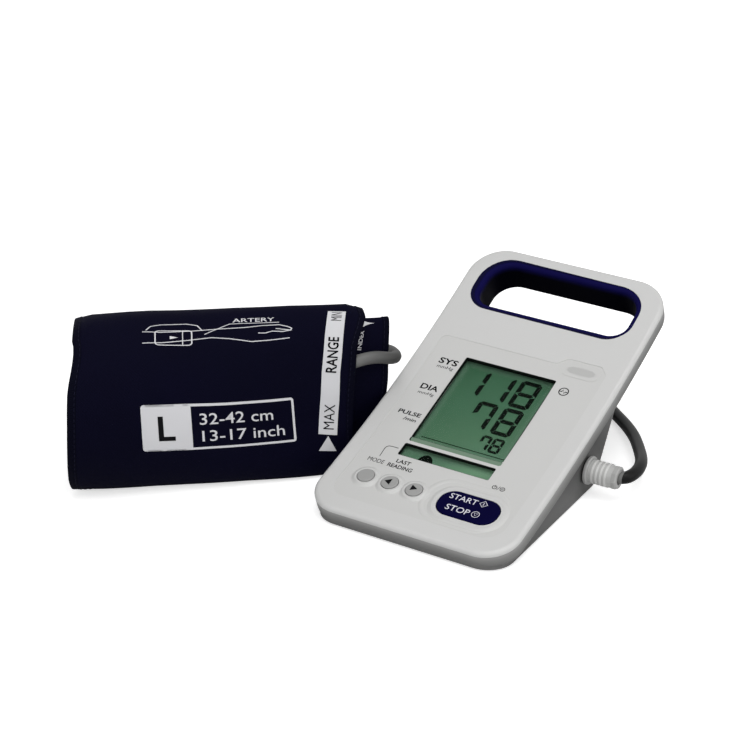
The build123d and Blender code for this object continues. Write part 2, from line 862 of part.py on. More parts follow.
jack_width, jack_length, jack_height = jack_size
jack_rear = wedge_rear + 0.2
jack_mouth = jack_rear + 4.1
with BuildPart() as power_jack:
    add(
        block(
            (jack_x - jack_width / 2, jack_rear - jack_length, jack_z - jack_height / 2),
            (jack_x + jack_width / 2, jack_rear, jack_z + jack_height / 2),
        )
    )
    add(rod((jack_x, jack_rear - 0.2, jack_z), (jack_x, jack_mouth, jack_z), jack_radius))
    add(rod((jack_x, jack_rear - 5, jack_z), (jack_x, jack_mouth + 1, jack_z), jack_bore), mode=Mode.SUBTRACT)
    add(rod((jack_x, jack_rear - 5.5, jack_z), (jack_x, jack_mouth - 0.8, jack_z), jack_pin))
power_jack.part.label = "power_jack"
export_step(power_jack.part, "parts/power_jack.step")

# --- air plug: its spigot sits in the socket, the hose leaves its cap ------------------------
ring_start = case_side + ring_gap
ring_end = ring_start + ring_thick
cap_end = plug_end + cap_length
axis_point = (socket_y, socket_z)
with BuildPart() as air_plug_body:
    add(rod((plug_start, *axis_point), (ring_end, *axis_point), spigot_radius))
    add(rod((ring_end, *axis_point), (plug_end, *axis_point), grip_radius))
    for rib in range(4):
        rib_x = ring_end + 2.0 + rib_pitch * rib
        add(rod((rib_x, *axis_point), (rib_x + rib_width, *axis_point), rib_radius))
    add(rod((hose_seat, *axis_point), (cap_end, *axis_point), hose_radius + 0.1), mode=Mode.SUBTRACT)
air_plug_body.part.label = "air_plug_body"
export_step(air_plug_body.part, "parts/air_plug_body.step")

with BuildPart() as air_plug_seal:
    add(rod((socket_mouth, *axis_point), (ring_start, *axis_point), rib_radius - 0.1, spigot_radius + 0.05))
air_plug_seal.part.label = "air_plug_seal"
export_step(air_plug_seal.part, "parts/air_plug_seal.step")

with BuildPart() as air_plug_ring:
    add(rod((ring_start, *axis_point), (ring_end, *axis_point), ring_radius, spigot_radius + 0.05))
    fillet(air_plug_ring.edges().filter_by(GeomType.CIRCLE).sort_by(SortBy.LENGTH)[-2:], ring_thick / 3)
air_plug_ring.part.label = "air_plug_ring"
export_step(air_plug_ring.part, "parts/air_plug_ring.step")

with BuildPart() as air_plug_cap:
    with BuildSketch(Plane.YZ.offset(plug_end)):
        with Locations(axis_point):
            RegularPolygon(cap_half_width, 8, major_radius=False)
    extrude(amount=cap_length)
    chamfer(air_plug_cap.faces().sort_by(Axis.X)[-1].edges(), 0.8)
    add(rod((plug_end, *axis_point), (cap_end, *axis_point), hose_radius + 0.1), mode=Mode.SUBTRACT)
air_plug_cap.part.label = "air_plug_cap"
export_step(air_plug_cap.part, "parts/air_plug_cap.step")


# --- cuff ----------------------------------------------------------------------------------
def between(pair, share):
    """Value a share of the way from the first of a pair to the second."""
    return pair[0] + (pair[1] - pair[0]) * share


def cuff_plane(s):
    """Plane across the cuff at the distance s along its axis: X to its back, Y up."""
    first = radians(cuff_heading[0])
    heading = radians(between(cuff_heading, s / cuff_length))
    bend = radians(cuff_heading[1] - cuff_heading[0]) / cuff_length
    x = cuff_start[0] + (sin(heading) - sin(first)) / bend
    y = cuff_start[1] - (cos(heading) - cos(first)) / bend
    across = (-sin(heading), cos(heading), 0)
    return Plane(origin=(x, y, 0), x_dir=across, z_dir=(cos(heading), sin(heading), 0))


def cuff_point(s, w, z):
    """Point at the distance s along the cuff, w behind its axis and z above the table."""
    return cuff_plane(s).from_local_coords(Vector(w, z, 0))


def cuff_solid(start, end, inset, inner=False):
    """Solid of the cuff's leaning oval between two stations, set in by inset(s)."""
    with BuildPart() as solid:
        for step in range(5):
            s = start + (end - start) * step / 4
            half_depth = between(cuff_half_depth, s / cuff_length) - inset(s)
            half_height = between(cuff_half_height, s / cuff_length)
            middle = (0.0, half_height)
            half_height -= inset(s)
            if inner:
                share = (s - inner_start) / (inner_end - inner_start)
                cut = between(inner_height_cut, share)
                half_depth -= inner_depth_cut
                half_height -= cut
                middle = (inner_back_shift, middle[1] + between(inner_rest, share) - cut)
            # the sheared oval, written by its own two axes
            across = half_depth**2 + (cuff_lean * half_height) ** 2
            up = half_height**2
            cross = cuff_lean * up
            swing = hypot((across - up) / 2, cross)
            turn = degrees(atan2(cross, (across - up) / 2) / 2)
            with BuildSketch(cuff_plane(s)):
                with Locations(middle):
                    mean = (across + up) / 2
                    Ellipse(sqrt(mean + swing), sqrt(mean - swing), rotation=turn)
        loft()
    return solid.part


def cuff_shell(start, end, outer, inner_face, inner=False):
    """Closed layer of the cuff between two insets."""
    with BuildPart() as shell:
        add(cuff_solid(start, end, outer, inner))
        add(cuff_solid(start - 1, end + 1, inner_face, inner), mode=Mode.SUBTRACT)
    return shell.part


def cuff_side(front, low, high):
    """Block that holds the cuff's front or back half between two heights."""
    far = 2 * cuff_half_depth[0]
    near, far = (-3.0, -far) if front else (-2.0, far)
    ends = ((-5.0, near), (inner_end + 5, near), (inner_end + 5, far), (-5.0, far))
    corners = [cuff_point(s, w, 0) for s, w in ends]
    with BuildPart() as side:
        with BuildSketch(Plane.XY.offset(low)):
            with BuildLine():
                Polyline(*[(corner.X, corner.Y) for corner in corners], close=True)
            make_face()
        extrude(amount=high - low)
    return side.part


def fixed(value):
    """Inset that is the same along the whole cuff."""
    return lambda s: value


def wall_share(share):
    """Inset at a share of the inner turn's wall, which thins towards its right end."""
    return lambda s: share * between(inner_wall, (s - inner_start) / (inner_end - inner_start))


with BuildPart() as cuff_outer_wrap:
    add(cuff_shell(tape, cuff_length - tape, fixed(0.0), fixed(wrap_thick)))
cuff_outer_wrap.part.label = "cuff_outer_wrap"
export_step(cuff_outer_wrap.part, "parts/cuff_outer_wrap.step")

with BuildPart() as cuff_wrap_tapes:
    add(cuff_shell(0.0, tape, fixed(0.0), fixed(wrap_thick)))
    add(cuff_shell(cuff_length - tape, cuff_length, fixed(0.0), fixed(wrap_thick)))
cuff_wrap_tapes.part.label = "cuff_wrap_tapes"
export_step(cuff_wrap_tapes.part, "parts/cuff_wrap_tapes.step")

inner_left = inner_start + tape
inner_right = inner_end - tape
with BuildPart() as cuff_inner_tapes:
    add(cuff_shell(inner_start, inner_left, fixed(0.0), wall_share(1.0), inner=True))
    add(cuff_shell(inner_right, inner_end, fixed(0.0), wall_share(1.0), inner=True))
cuff_inner_tapes.part.label = "cuff_inner_tapes"
export_step(cuff_inner_tapes.part, "parts/cuff_inner_tapes.step")

with BuildPart() as cuff_inner_cloth:
    add(cuff_shell(inner_left, inner_right, fixed(0.0), wall_share(0.22), inner=True))
cuff_inner_cloth.part.label = "cuff_inner_cloth"
export_step(cuff_inner_cloth.part, "parts/cuff_inner_cloth.step")

with BuildPart() as cuff_bladder:
    add(cuff_shell(inner_left + 1, inner_right - 1, wall_share(0.24), wall_share(0.76), inner=True))
    add(cuff_side(False, bladder_low, 2.5 * cuff_half_height[0]), mode=Mode.INTERSECT)
cuff_bladder.part.label = "cuff_bladder"
export_step(cuff_bladder.part, "parts/cuff_bladder.step")

with BuildPart() as cuff_lining:
    add(cuff_shell(inner_left, inner_right, wall_share(0.78), wall_share(1.0), inner=True))
cuff_lining.part.label = "cuff_lining"
export_step(cuff_lining.part, "parts/cuff_lining.step")

with BuildPart() as cuff_hook_patch:
    patch_out = wrap_thick + 0.05
    add(cuff_shell(*patch_span, fixed(patch_out), fixed(patch_out + patch_thick)))
    add(cuff_side(True, *patch_heights), mode=Mode.INTERSECT)
cuff_hook_patch.part.label = "cuff_hook_patch"
export_step(cuff_hook_patch.part, "parts/cuff_hook_patch.step")

with BuildPart() as cuff_nipple:
    nipple_front = cuff_point(nipple_s, nipple_w - hose_radius, nipple_z)
    add(rod(cuff_point(nipple_s, -2.0, nipple_z), nipple_front, nipple_radius))
    add(cuff_solid(inner_left, inner_right, fixed(-0.05), inner=True), mode=Mode.SUBTRACT)
    barb_end = cuff_point(hose_start_s, nipple_w, nipple_z)
    add(rod(cuff_point(nipple_s, nipple_w, nipple_z), barb_end, barb_radius))
cuff_nipple.part.label = "cuff_nipple"
export_step(cuff_nipple.part, "parts/cuff_nipple.step")


# --- air hose --------------------------------------------------------------------------------
def corner_radii(points):
    """Largest fair radius at each corner of a route: 0.45 of its shorter run."""
    radii = []
    for before, corner, after in zip(points, points[1:], points[2:]):
        run_in = Vector(corner) - Vector(before)
        run_out = Vector(after) - Vector(corner)
        half_turn = radians(run_in.get_angle(run_out)) / 2
        radii.append(0.45 * min(run_in.length, run_out.length) / tan(half_turn))
    return radii


def hose_tube(points, name):
    """Tube of the hose's outer size along a route, and its length."""
    radii = corner_radii(points)
    print(name, "radii", [round(radius, 1) for radius in radii])
    with BuildPart() as tube:
        with BuildLine() as path:
            FilletPolyline(*points, radius=radii)
        first = Vector(points[1]) - Vector(points[0])
        with BuildSketch(Plane(origin=points[0], z_dir=first)):
            Circle(hose_radius)
        sweep(path=path.line)
    length = sum(edge.length for edge in path.edges())
    section = pi * hose_radius**2
    print(name, "length", round(length, 1), "volume share", round(tube.part.volume / (section * length), 4))
    return tube.part, length


coil_x, coil_y = coil_middle
coil_in = radians(55.0)
coil_entry = (coil_x + coil_radius * cos(coil_in), coil_y + coil_radius * sin(coil_in), hose_radius)
coil_exit = (coil_x - coil_radius - hose_radius, coil_y, 3 * hose_radius)
plug_route = [
    (hose_seat, socket_y, socket_z),
    (85.3, socket_y, socket_z),
    (84.5, 107.0, 12.8),
    (77.5, 120.0, 9.6),
    (67.5, 139.0, 6.0),
    (52.0, 163.0, 3.9),
    (27.0, 184.5, hose_radius),
    coil_entry,
]
cuff_route = [
    cuff_point(hose_start_s, nipple_w, nipple_z),
    cuff_point(161.0, -7.5, 58.2),
    cuff_point(inner_end + 5.6, -8.4, 58.4),
    cuff_point(inner_end + 5.6, 5.5, 58.8),
    cuff_point(159.0, 5.5, 60.0),
    cuff_point(142.0, 5.6, 63.0),
    cuff_point(124.0, 5.7, 65.0),
    cuff_point(112.0, 3.2, 43.0),
    cuff_point(124.0, 0.4, 21.5),
    cuff_point(141.0, 0.7, 22.0),
    cuff_point(158.0, 0.9, 24.6),
    cuff_point(178.0, 0.9, 25.0),
    (-70.5, 107.0, 17.5),
    (-72.5, 129.0, 11.5),
    (-73.5, 153.0, 3 * hose_radius),
    coil_exit,
]
plug_tube, plug_length = hose_tube(plug_route, "plug run")
cuff_tube, cuff_run_length = hose_tube(cuff_route, "cuff run")
coil_length = hose_length - plug_length - cuff_run_length
print("coil", round(coil_length, 1), "turns", round(coil_length / (2 * pi * coil_radius), 2))

with BuildPart() as air_hose_plug_run:
    add(plug_tube)
air_hose_plug_run.part.label = "air_hose_plug_run"
export_step(air_hose_plug_run.part, "parts/air_hose_plug_run.step")

with BuildPart() as air_hose_cuff_run:
    add(cuff_tube)
air_hose_cuff_run.part.label = "air_hose_cuff_run"
export_step(air_hose_cuff_run.part, "parts/air_hose_cuff_run.step")

with BuildPart() as air_hose_coil:
    with BuildSketch(Plane.XZ.offset(-coil_y)):
        with Locations((coil_x + coil_radius, hose_diameter)):
            RectangleRounded(2 * hose_diameter, 2 * hose_diameter, hose_radius)
    revolve(axis=Axis((coil_x, coil_y, 0), (0, 0, 1)))
air_hose_coil.part.label = "air_hose_coil"
export_step(air_hose_coil.part, "parts/air_hose_coil.step")
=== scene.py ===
from math import cos, hypot, pi, radians, sin

import bmesh
import bpy
from mathutils import Matrix, Vector, noise


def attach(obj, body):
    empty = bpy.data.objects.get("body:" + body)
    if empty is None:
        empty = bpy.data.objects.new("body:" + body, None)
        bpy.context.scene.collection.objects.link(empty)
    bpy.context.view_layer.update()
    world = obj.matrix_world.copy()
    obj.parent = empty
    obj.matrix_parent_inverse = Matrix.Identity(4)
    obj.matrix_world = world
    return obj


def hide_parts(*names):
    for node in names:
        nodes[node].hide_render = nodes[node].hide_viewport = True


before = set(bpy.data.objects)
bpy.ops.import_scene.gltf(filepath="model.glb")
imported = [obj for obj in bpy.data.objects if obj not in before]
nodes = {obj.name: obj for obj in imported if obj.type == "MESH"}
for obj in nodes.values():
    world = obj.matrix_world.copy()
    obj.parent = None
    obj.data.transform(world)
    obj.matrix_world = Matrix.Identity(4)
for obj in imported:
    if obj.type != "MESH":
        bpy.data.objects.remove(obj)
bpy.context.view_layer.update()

MM = 0.001


def add_object(name, data):
    """Object with some data, put in the scene."""
    piece = bpy.data.objects.new(name, data)
    bpy.context.scene.collection.objects.link(piece)
    return piece


# ---------------------------------------------------------------------------
# Places on the curved face, in millimetres: u across it, s up it from the
# front edge, depth into the housing
# ---------------------------------------------------------------------------
FACE_LENGTH = 216.0
FRONT_TILT = 13.0
REAR_TILT = 27.5
FACE_RADIUS = FACE_LENGTH / radians(REAR_TILT - FRONT_TILT)
ARC_Y = -12.0 - FACE_RADIUS * sin(radians(FRONT_TILT))
ARC_Z = 12.2 + FACE_RADIUS * cos(radians(FRONT_TILT))


def tilt_at(s):
    """Slope of the face, in radians, s millimetres up it."""
    return radians(FRONT_TILT) + s / FACE_RADIUS


def face_point(u, s, depth=0.0):
    """Point of the face, or under it, in metres."""
    angle = tilt_at(s)
    reach = FACE_RADIUS + depth
    return Vector((u, ARC_Y + reach * sin(angle), ARC_Z - reach * cos(angle))) * MM


def face_matrix(u, s, depth=0.0):
    """Frame on the face: X across, Y up it, Z out of it."""
    angle = tilt_at(s)
    turn = Matrix.Rotation(angle, 4, "X")
    return Matrix.Translation(face_point(u, s, depth)) @ turn


# ---------------------------------------------------------------------------
# Places on the rolled cuff, in millimetres: s along its axis, w to its back
# ---------------------------------------------------------------------------
CUFF_START = (-189.7, -38.1)
CUFF_HEADING = (radians(33.4), radians(53.3))
CUFF_LENGTH = 154.0
CUFF_BEND = (CUFF_HEADING[1] - CUFF_HEADING[0]) / CUFF_LENGTH
# half sizes of its oval section at its left end and its right one
HALF_DEPTH = (32.9, 15.4)
HALF_HEIGHT = (49.0, 44.9)
CUFF_LEAN = 0.123


def cuff_point(s, w, z):
    """Point s along the cuff's bowed axis, w behind it and z above the table, in metres."""
    heading = CUFF_HEADING[0] + CUFF_BEND * s
    x = CUFF_START[0] + (sin(heading) - sin(CUFF_HEADING[0])) / CUFF_BEND
    y = CUFF_START[1] - (cos(heading) - cos(CUFF_HEADING[0])) / CUFF_BEND
    return Vector((x - sin(heading) * w, y + cos(heading) * w, z)) * MM


# ---------------------------------------------------------------------------
# Camera
# ---------------------------------------------------------------------------
CAMERA_PLACE = Vector((0.49918, -0.86667, 0.60963))
CAMERA_BACK = Vector((0.46181, -0.76257, 0.45301))
CAMERA_LENS = 107.475

camera_data = bpy.data.cameras.new("camera")
camera_data.lens = CAMERA_LENS
camera_data.sensor_width = 36.0
camera_data.clip_start = 0.01
camera = add_object("camera", camera_data)
camera.location = CAMERA_PLACE
camera.rotation_euler = (-CAMERA_BACK).to_track_quat("-Z", "Y").to_euler()
bpy.context.scene.camera = camera
bpy.context.scene.view_settings.view_transform = "Standard"


# ---------------------------------------------------------------------------
# Air hose: one smooth line from the cuff's nipple through its coil to the plug
# ---------------------------------------------------------------------------
HOSE_DIAMETER = 7.0
NIPPLE_Z = 58.4
SOCKET_Y = 91.3
SOCKET_Z = 15.7
# the coil's middle, its outer turns' radius, how far in the others lie, and the height of its upper layer
COIL_MIDDLE = (-30.0, 178.0)
COIL_OUTER = 43.7
COIL_STEP = 7.3
COIL_TOP = 10.5
# degrees round the coil, counted back from the plug's side
COIL_SWEEP = 1205
COIL_PITCH = 15
COIL_FIRST = 55
COIL_INWARD = (290, 360)
COIL_UP = (600, 660)
COIL_OUTWARD = (870, 940)


def ease(value, start, end):
    """Smooth step from 0 at start to 1 at end."""
    share = min(1.0, max(0.0, (value - start) / (end - start)))
    return share * share * (3 - 2 * share)


def coil_points():
    """Coil from the cuff's side to the plug's: an upper layer, then one on the table, each two turns wide."""
    points = []
    for turn in range(COIL_SWEEP, -1, -COIL_PITCH):
        radius = COIL_OUTER - COIL_STEP * (ease(turn, *COIL_INWARD) - ease(turn, *COIL_OUTWARD))
        height = HOSE_DIAMETER / 2 + (COIL_TOP - HOSE_DIAMETER / 2) * ease(turn, *COIL_UP)
        angle = radians(COIL_FIRST + turn)
        x = COIL_MIDDLE[0] + radius * cos(angle)
        y = COIL_MIDDLE[1] + radius * sin(angle)
        points.append(Vector((x, y, height)) * MM)
    return points


cuff_route = [
    cuff_point(147.0, -7.7, NIPPLE_Z),
    cuff_point(161.0, -7.5, 62.2),
    cuff_point(179.8, -8.4, 56.4),
    cuff_point(180.0, 5.3, 57.2),
    cuff_point(159.0, 5.5, 59.0),
    cuff_point(142.0, 5.6, 63.0),
    cuff_point(124.0, 5.7, 65.0),
    cuff_point(112.0, 3.2, 43.0),
    cuff_point(124.0, 0.4, 21.5),
    cuff_point(141.0, 0.7, 22.0),
    cuff_point(158.0, 0.9, 24.6),
    cuff_point(178.0, 0.9, 25.0),
    Vector((-70.5, 107.0, 17.5)) * MM,
    Vector((-72.5, 129.0, 11.5)) * MM,
    Vector((-73.5, 153.0, 10.5)) * MM,
]
plug_route = [
    Vector((27.0, 184.5, 3.5)) * MM,
    Vector((53.0, 162.0, 5.0)) * MM,
    Vector((72.0, 131.5, 10.6)) * MM,
    Vector((81.0, 113.0, 15.2)) * MM,
    Vector((83.0, 100.0, 15.9)) * MM,
    Vector((79.5, SOCKET_Y, SOCKET_Z)) * MM,
    Vector((70.0, SOCKET_Y, SOCKET_Z)) * MM,
]


def smooth_line(name, points, radius):
    """Curve object of one smooth line with those points as its controls."""
    curve = bpy.data.curves.new(name, "CURVE")
    curve.dimensions = "3D"
    line = curve.splines.new("NURBS")
    line.points.add(len(points) - 1)
    for control, point in zip(line.points, points):
        control.co = (*point, 1.0)
        control.radius = radius
    line.order_u = 3
    line.use_endpoint_u = True
    curve.resolution_u = 8
    curve.bevel_depth = 1.0
    curve.bevel_resolution = 6
    curve.use_fill_caps = True
    return add_object(name, curve)


air_hose = smooth_line("air_hose", cuff_route + coil_points() + plug_route, HOSE_DIAMETER / 2 * MM)
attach(air_hose, "housing")
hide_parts("air_hose_plug_run", "air_hose_coil", "air_hose_cuff_run")


# ---------------------------------------------------------------------------
# Shader helpers
# ---------------------------------------------------------------------------
def new_material(name, color, roughness, **sockets):
    """Principled material with plain values; returns the material and its shader node."""
    material = bpy.data.materials.new(name)
    material.use_nodes = True
    shader = material.node_tree.nodes["Principled BSDF"]
    shader.inputs["Base Color"].default_value = (*color, 1.0)
    shader.inputs["Roughness"].default_value = roughness
    for socket, value in sockets.items():
        shader.inputs[socket.replace("_", " ")].default_value = value
    return material, shader


def feed(tree, socket, value):
    """Links another node's output to a socket, or sets the socket's own value."""
    if isinstance(value, bpy.types.NodeSocket):
        tree.links.new(value, socket)
    else:
        socket.default_value = value


def add_node(tree, kind, **values):
    """Shader node of a kind, with its settings and then its sockets set or linked by name."""
    node = tree.nodes.new(kind)
    for key, value in values.items():
        socket = key.replace("_", " ")
        if socket in node.inputs:
            feed(tree, node.inputs[socket], value)
        else:
            setattr(node, key, value)
    return node


def add_math(tree, operation, *values):
    """Result of one operation on plain numbers and other nodes' outputs."""
    node = add_node(tree, "ShaderNodeMath", operation=operation)
    for socket, value in zip(node.inputs, values):
        feed(tree, socket, value)
    return node.outputs["Value"]


def add_vector(tree, operation, *values):
    """Result of one vector operation on plain vectors and other nodes' outputs."""
    node = add_node(tree, "ShaderNodeVectorMath", operation=operation)
    for socket, value in zip(node.inputs, values):
        feed(tree, socket, value)
    return node.outputs["Value" if operation in ("LENGTH", "DOT_PRODUCT") else "Vector"]


def add_scale(tree, vector, factor):
    """Vector or colour times a number."""
    node = add_node(tree, "ShaderNodeVectorMath", operation="SCALE", Vector=vector, Scale=factor)
    return node.outputs["Vector"]


def add_place(tree):
    """Place of each point in the object's own coordinates, in metres."""
    return tree.nodes.new("ShaderNodeTexCoord").outputs["Object"]


def new_group(name, inputs, outputs):
    """Shader node group with named sockets; returns its tree and ends."""
    tree = bpy.data.node_groups.new(name, "ShaderNodeTree")
    for label, kind, value in inputs:
        socket = tree.interface.new_socket(label, in_out="INPUT", socket_type=kind)
        if value is not None:
            socket.default_value = value
    for label, kind in outputs:
        tree.interface.new_socket(label, in_out="OUTPUT", socket_type=kind)
    return tree, tree.nodes.new("NodeGroupInput"), tree.nodes.new("NodeGroupOutput")


FLOAT = "NodeSocketFloat"
COLOR = "NodeSocketColor"
VECTOR = "NodeSocketVector"


def make_moulded_group():
    """Moulded plastic: slight colour drift, uneven gloss and a fine spark-eroded grain."""
    tree, start, end = new_group(
        "moulded_plastic",
        [
            ("Color", COLOR, (0.8, 0.8, 0.8, 1.0)),
            ("Drift", FLOAT, 0.04),
            ("Roughness", FLOAT, 0.4),
            ("Gloss Drift", FLOAT, 0.06),
            ("Grain Size", FLOAT, 2500.0),
            ("Grain", FLOAT, 0.1),
        ],
        [("Color", COLOR), ("Roughness", FLOAT), ("Normal", VECTOR)],
    )
    asked = start.outputs
    place = add_place(tree)
    cloud = add_node(tree, "ShaderNodeTexNoise", Vector=place, Scale=22.0, Detail=4.0, Roughness=0.6)
    spread = add_node(tree, "ShaderNodeMapRange", Value=cloud.outputs["Fac"], To_Min=-1.0).outputs["Result"]
    drift = add_math(tree, "MULTIPLY_ADD", spread, asked["Drift"], 1.0)
    gloss = add_math(tree, "MULTIPLY_ADD", spread, asked["Gloss Drift"], asked["Roughness"])
    grain = add_node(tree, "ShaderNodeTexNoise", Vector=place, Scale=asked["Grain Size"], Detail=2.0,
                     Roughness=0.5)
    bump = add_node(tree, "ShaderNodeBump", Distance=0.0001, Height=grain.outputs["Fac"],
                    Strength=asked["Grain"])
    feed(tree, end.inputs["Color"], add_scale(tree, asked["Color"], drift))
    feed(tree, end.inputs["Roughness"], gloss)
    feed(tree, end.inputs["Normal"], bump.outputs["Normal"])
    return tree


def place_group(tree, shader, group_tree, **values):
    """Places an effect group in a material and feeds the shader with all that it puts out."""
    group = add_node(tree, "ShaderNodeGroup", node_tree=group_tree, **values)
    for output in group.outputs:
        feed(tree, shader.inputs["Base Color" if output.name == "Color" else output.name], output)


moulded_group = make_moulded_group()


def moulded(name, color, roughness, drift=0.03, gloss_drift=0.05, grain_size=2500.0, grain=0.15, **sockets):
    """Moulded plastic or rubber finish."""
    material, shader = new_material(name, color, roughness, **sockets)
    place_group(material.node_tree, shader, moulded_group, Color=(*color, 1.0), Drift=drift,
                Roughness=roughness, Gloss_Drift=gloss_drift, Grain_Size=grain_size, Grain=grain)
    return material


# ---------------------------------------------------------------------------
# Finishes of the CAD pieces
# ---------------------------------------------------------------------------
def add_point(tree, frame_matrix):
    """Place of each point seen from a frame of the object, in metres."""
    inverse = frame_matrix.inverted()
    mapping = add_node(tree, "ShaderNodeMapping", Vector=add_place(tree), Rotation=inverse.to_euler(),
                       Location=inverse.translation)
    return mapping.outputs["Vector"]


def add_reach(tree, y, z):
    """Distance of each point from a line along X, in metres; y and z of the line in millimetres."""
    flat = add_vector(tree, "MULTIPLY_ADD", add_place(tree), (0.0, 1.0, 1.0), (0.0, -y * MM, -z * MM))
    return add_vector(tree, "LENGTH", flat)


def add_depth(tree):
    """Depth of each point under the curved face, in metres."""
    return add_math(tree, "SUBTRACT", add_reach(tree, ARC_Y, ARC_Z), FACE_RADIUS * MM)


def add_ramp(tree, value, span, stops):
    """Colour ramp over a span of a value, in millimetres; stops are (share, colour)."""
    spread = add_node(tree, "ShaderNodeMapRange", Value=value, From_Min=span[0] * MM, From_Max=span[1] * MM)
    ramp = add_node(tree, "ShaderNodeValToRGB", Fac=spread.outputs["Result"])
    elements = ramp.color_ramp.elements
    elements[0].position, elements[1].position = stops[0][0], stops[-1][0]
    for share, _ in stops[1:-1]:
        elements.new(share)
    for element, (_, color) in zip(elements, stops):
        element.color = (*color, 1.0)
    return ramp.outputs["Color"]


def tint(material, color):
    """Feeds a colour that changes over the piece into the material's effect group."""
    tree = material.node_tree
    group = next(node for node in tree.nodes if node.type == "GROUP")
    tree.links.new(color, group.inputs["Color"])
    return material


def shade(material, value, span, stops):
    """Colours a material by a ramp over a span of a value, in millimetres."""
    return tint(material, add_ramp(material.node_tree, value, span, stops))


def tone(value, warm=0.985):
    """Neutral grey, a little warm."""
    return (value, value, value * warm)


# depths under the face over which the painted shade of the case and of the handle's liner changes
CASE_SHADE = (2.8, 30.0)
LINER_SHADE = (0.0, 5.5)
# radii of the plug's grooves and ribs, between which its painted shade fades; where the hose's painted light
# fades along X, and the ends of its grey sleeve
PLUG_GROOVE = 6.2
PLUG_RIB = 6.7
HOSE_LIGHT_FADE = (-85.0, 60.0)
SLEEVE_SPAN = (60.0, 79.8)
SLEEVE_BACK = SOCKET_Y + 4.2
SLEEVE_GREY = (0.14, 0.14, 0.138)
LAMP_MIDDLE = (36.8, 142.4)
# half widths of the grey patch over the lamp
LAMP_GLOW = (10.0, 3.4)
# frame on the display's glass, and the parts of it that are green: the readings and the strip under them;
# outside them painted shade makes it black
DISPLAY_FRAME = face_matrix(0.0, 92.0, 3.9)
DISPLAY_FIELDS = ((-31.4, -25.7, 26.6, 41.7), (-31.9, -40.6, 25.5, -29.5))
# how far in from its edges the display is paler, as painted light
EDGE_GLOW = (0.8, 6.2)


def make_case_grey():
    """Grey of the rear case with painted shade: pale under the cover's edge, darker down its sides, where
    less light falls.
    """
    material = moulded("case_grey", (0.12, 0.12, 0.118), 0.5, drift=0.04, grain=0.35, grain_size=1800.0)
    stops = ((0.0, tone(0.30)), (0.1, tone(0.20)), (0.2, tone(0.15)), (0.3, tone(0.105)),
             (0.34, tone(0.115)), (0.5, tone(0.075)), (1.0, tone(0.095)))
    return shade(material, add_depth(material.node_tree), CASE_SHADE, stops)


def make_liner_navy():
    """Navy of the handle's liner with painted shade: clear at its rounded rim, near black down its walls,
    where shade falls in the opening.
    """
    navy, dark = (0.0055, 0.0045, 0.050), (0.0006, 0.0006, 0.003)
    material = moulded("liner_navy", navy, 0.4, drift=0.1, grain=0.12, Specular_IOR_Level=0.01)
    stops = ((0.0, navy), (0.35, navy), (0.75, (0.002, 0.0016, 0.016)), (1.0, dark))
    return shade(material, add_depth(material.node_tree), LINER_SHADE, stops)


def make_plug_white():
    """White of the plug with painted shade: greyer in the grooves between its ribs, paler on the ribs."""
    material = moulded("plug_white", tone(0.5), 0.4, drift=0.02, grain=0.12)
    stops = ((0.0, tone(0.40)), (0.3, tone(0.44)), (0.9, tone(0.58)), (1.0, tone(0.60)))
    reach = add_reach(material.node_tree, SOCKET_Y, SOCKET_Z)
    return shade(material, reach, (PLUG_GROOVE, PLUG_RIB), stops)


def make_hose_rubber():
    """Smooth hose rubber with painted light: dull grey by the cuff, where it is lit more, blacker towards the
    plug, with a grey sleeve at the plug.
    """
    material = moulded("hose_rubber", (0.04, 0.04, 0.04), 0.4, drift=0.08, grain=0.12, grain_size=1500.0,
                       Specular_IOR_Level=0.12)
    tree = material.node_tree
    split = add_node(tree, "ShaderNodeSeparateXYZ", Vector=add_place(tree)).outputs
    stops = ((0.0, tone(0.20)), (0.10, tone(0.155)), (0.20, tone(0.05)), (1.0, tone(0.005)))
    lit_rubber = add_ramp(tree, split["X"], HOSE_LIGHT_FADE, stops)
    sleeve = add_math(tree, "GREATER_THAN", split["X"], SLEEVE_SPAN[0] * MM)
    for axis, end in (("X", SLEEVE_SPAN[1]), ("Y", SLEEVE_BACK)):
        before = add_math(tree, "LESS_THAN", split[axis], end * MM)
        sleeve = add_math(tree, "MULTIPLY", sleeve, before)
    mix = add_node(tree, "ShaderNodeMix", data_type="RGBA", Factor=sleeve, A=lit_rubber, B=(*SLEEVE_GREY, 1.0))
    return tint(material, mix.outputs["Result"])


def make_lamp_film():
    """Panel film over the lamp: a soft grey patch that fades into the panel."""
    material = moulded("lamp_film", tone(0.52), 0.5, drift=0.012, grain=0.12)
    tree = material.node_tree
    point = add_point(tree, face_matrix(*LAMP_MIDDLE))
    # one millimetre of this stands for the whole way to the patch's edge
    share = add_vector(tree, "MULTIPLY", point, (1 / LAMP_GLOW[0], 1 / LAMP_GLOW[1], 0.0))
    stops = ((0.0, tone(0.36)), (0.4, tone(0.38)), (1.0, tone(0.52)))
    return shade(material, add_vector(tree, "LENGTH", share), (0.0, 1.0), stops)


def make_lens():
    """Clear lens: thin and glossy, so that the display shows through it with its reflections."""
    return new_material("clear_lens", (0.02, 0.03, 0.025), 0.08, Alpha=0.03)[0]


def add_inside(tree, point, x0, y0, x1, y1):
    """How far each point lies inside a rectangle of its frame, in metres; negative outside it."""
    shift = add_vector(tree, "SUBTRACT", point, ((x0 + x1) / 2 * MM, (y0 + y1) / 2 * MM, 0.0))
    half = ((x1 - x0) / 2 * MM, (y1 - y0) / 2 * MM, 0.0)
    room = add_vector(tree, "SUBTRACT", half, add_vector(tree, "ABSOLUTE", shift))
    split = add_node(tree, "ShaderNodeSeparateXYZ", Vector=room)
    return add_math(tree, "MINIMUM", split.outputs["X"], split.outputs["Y"])


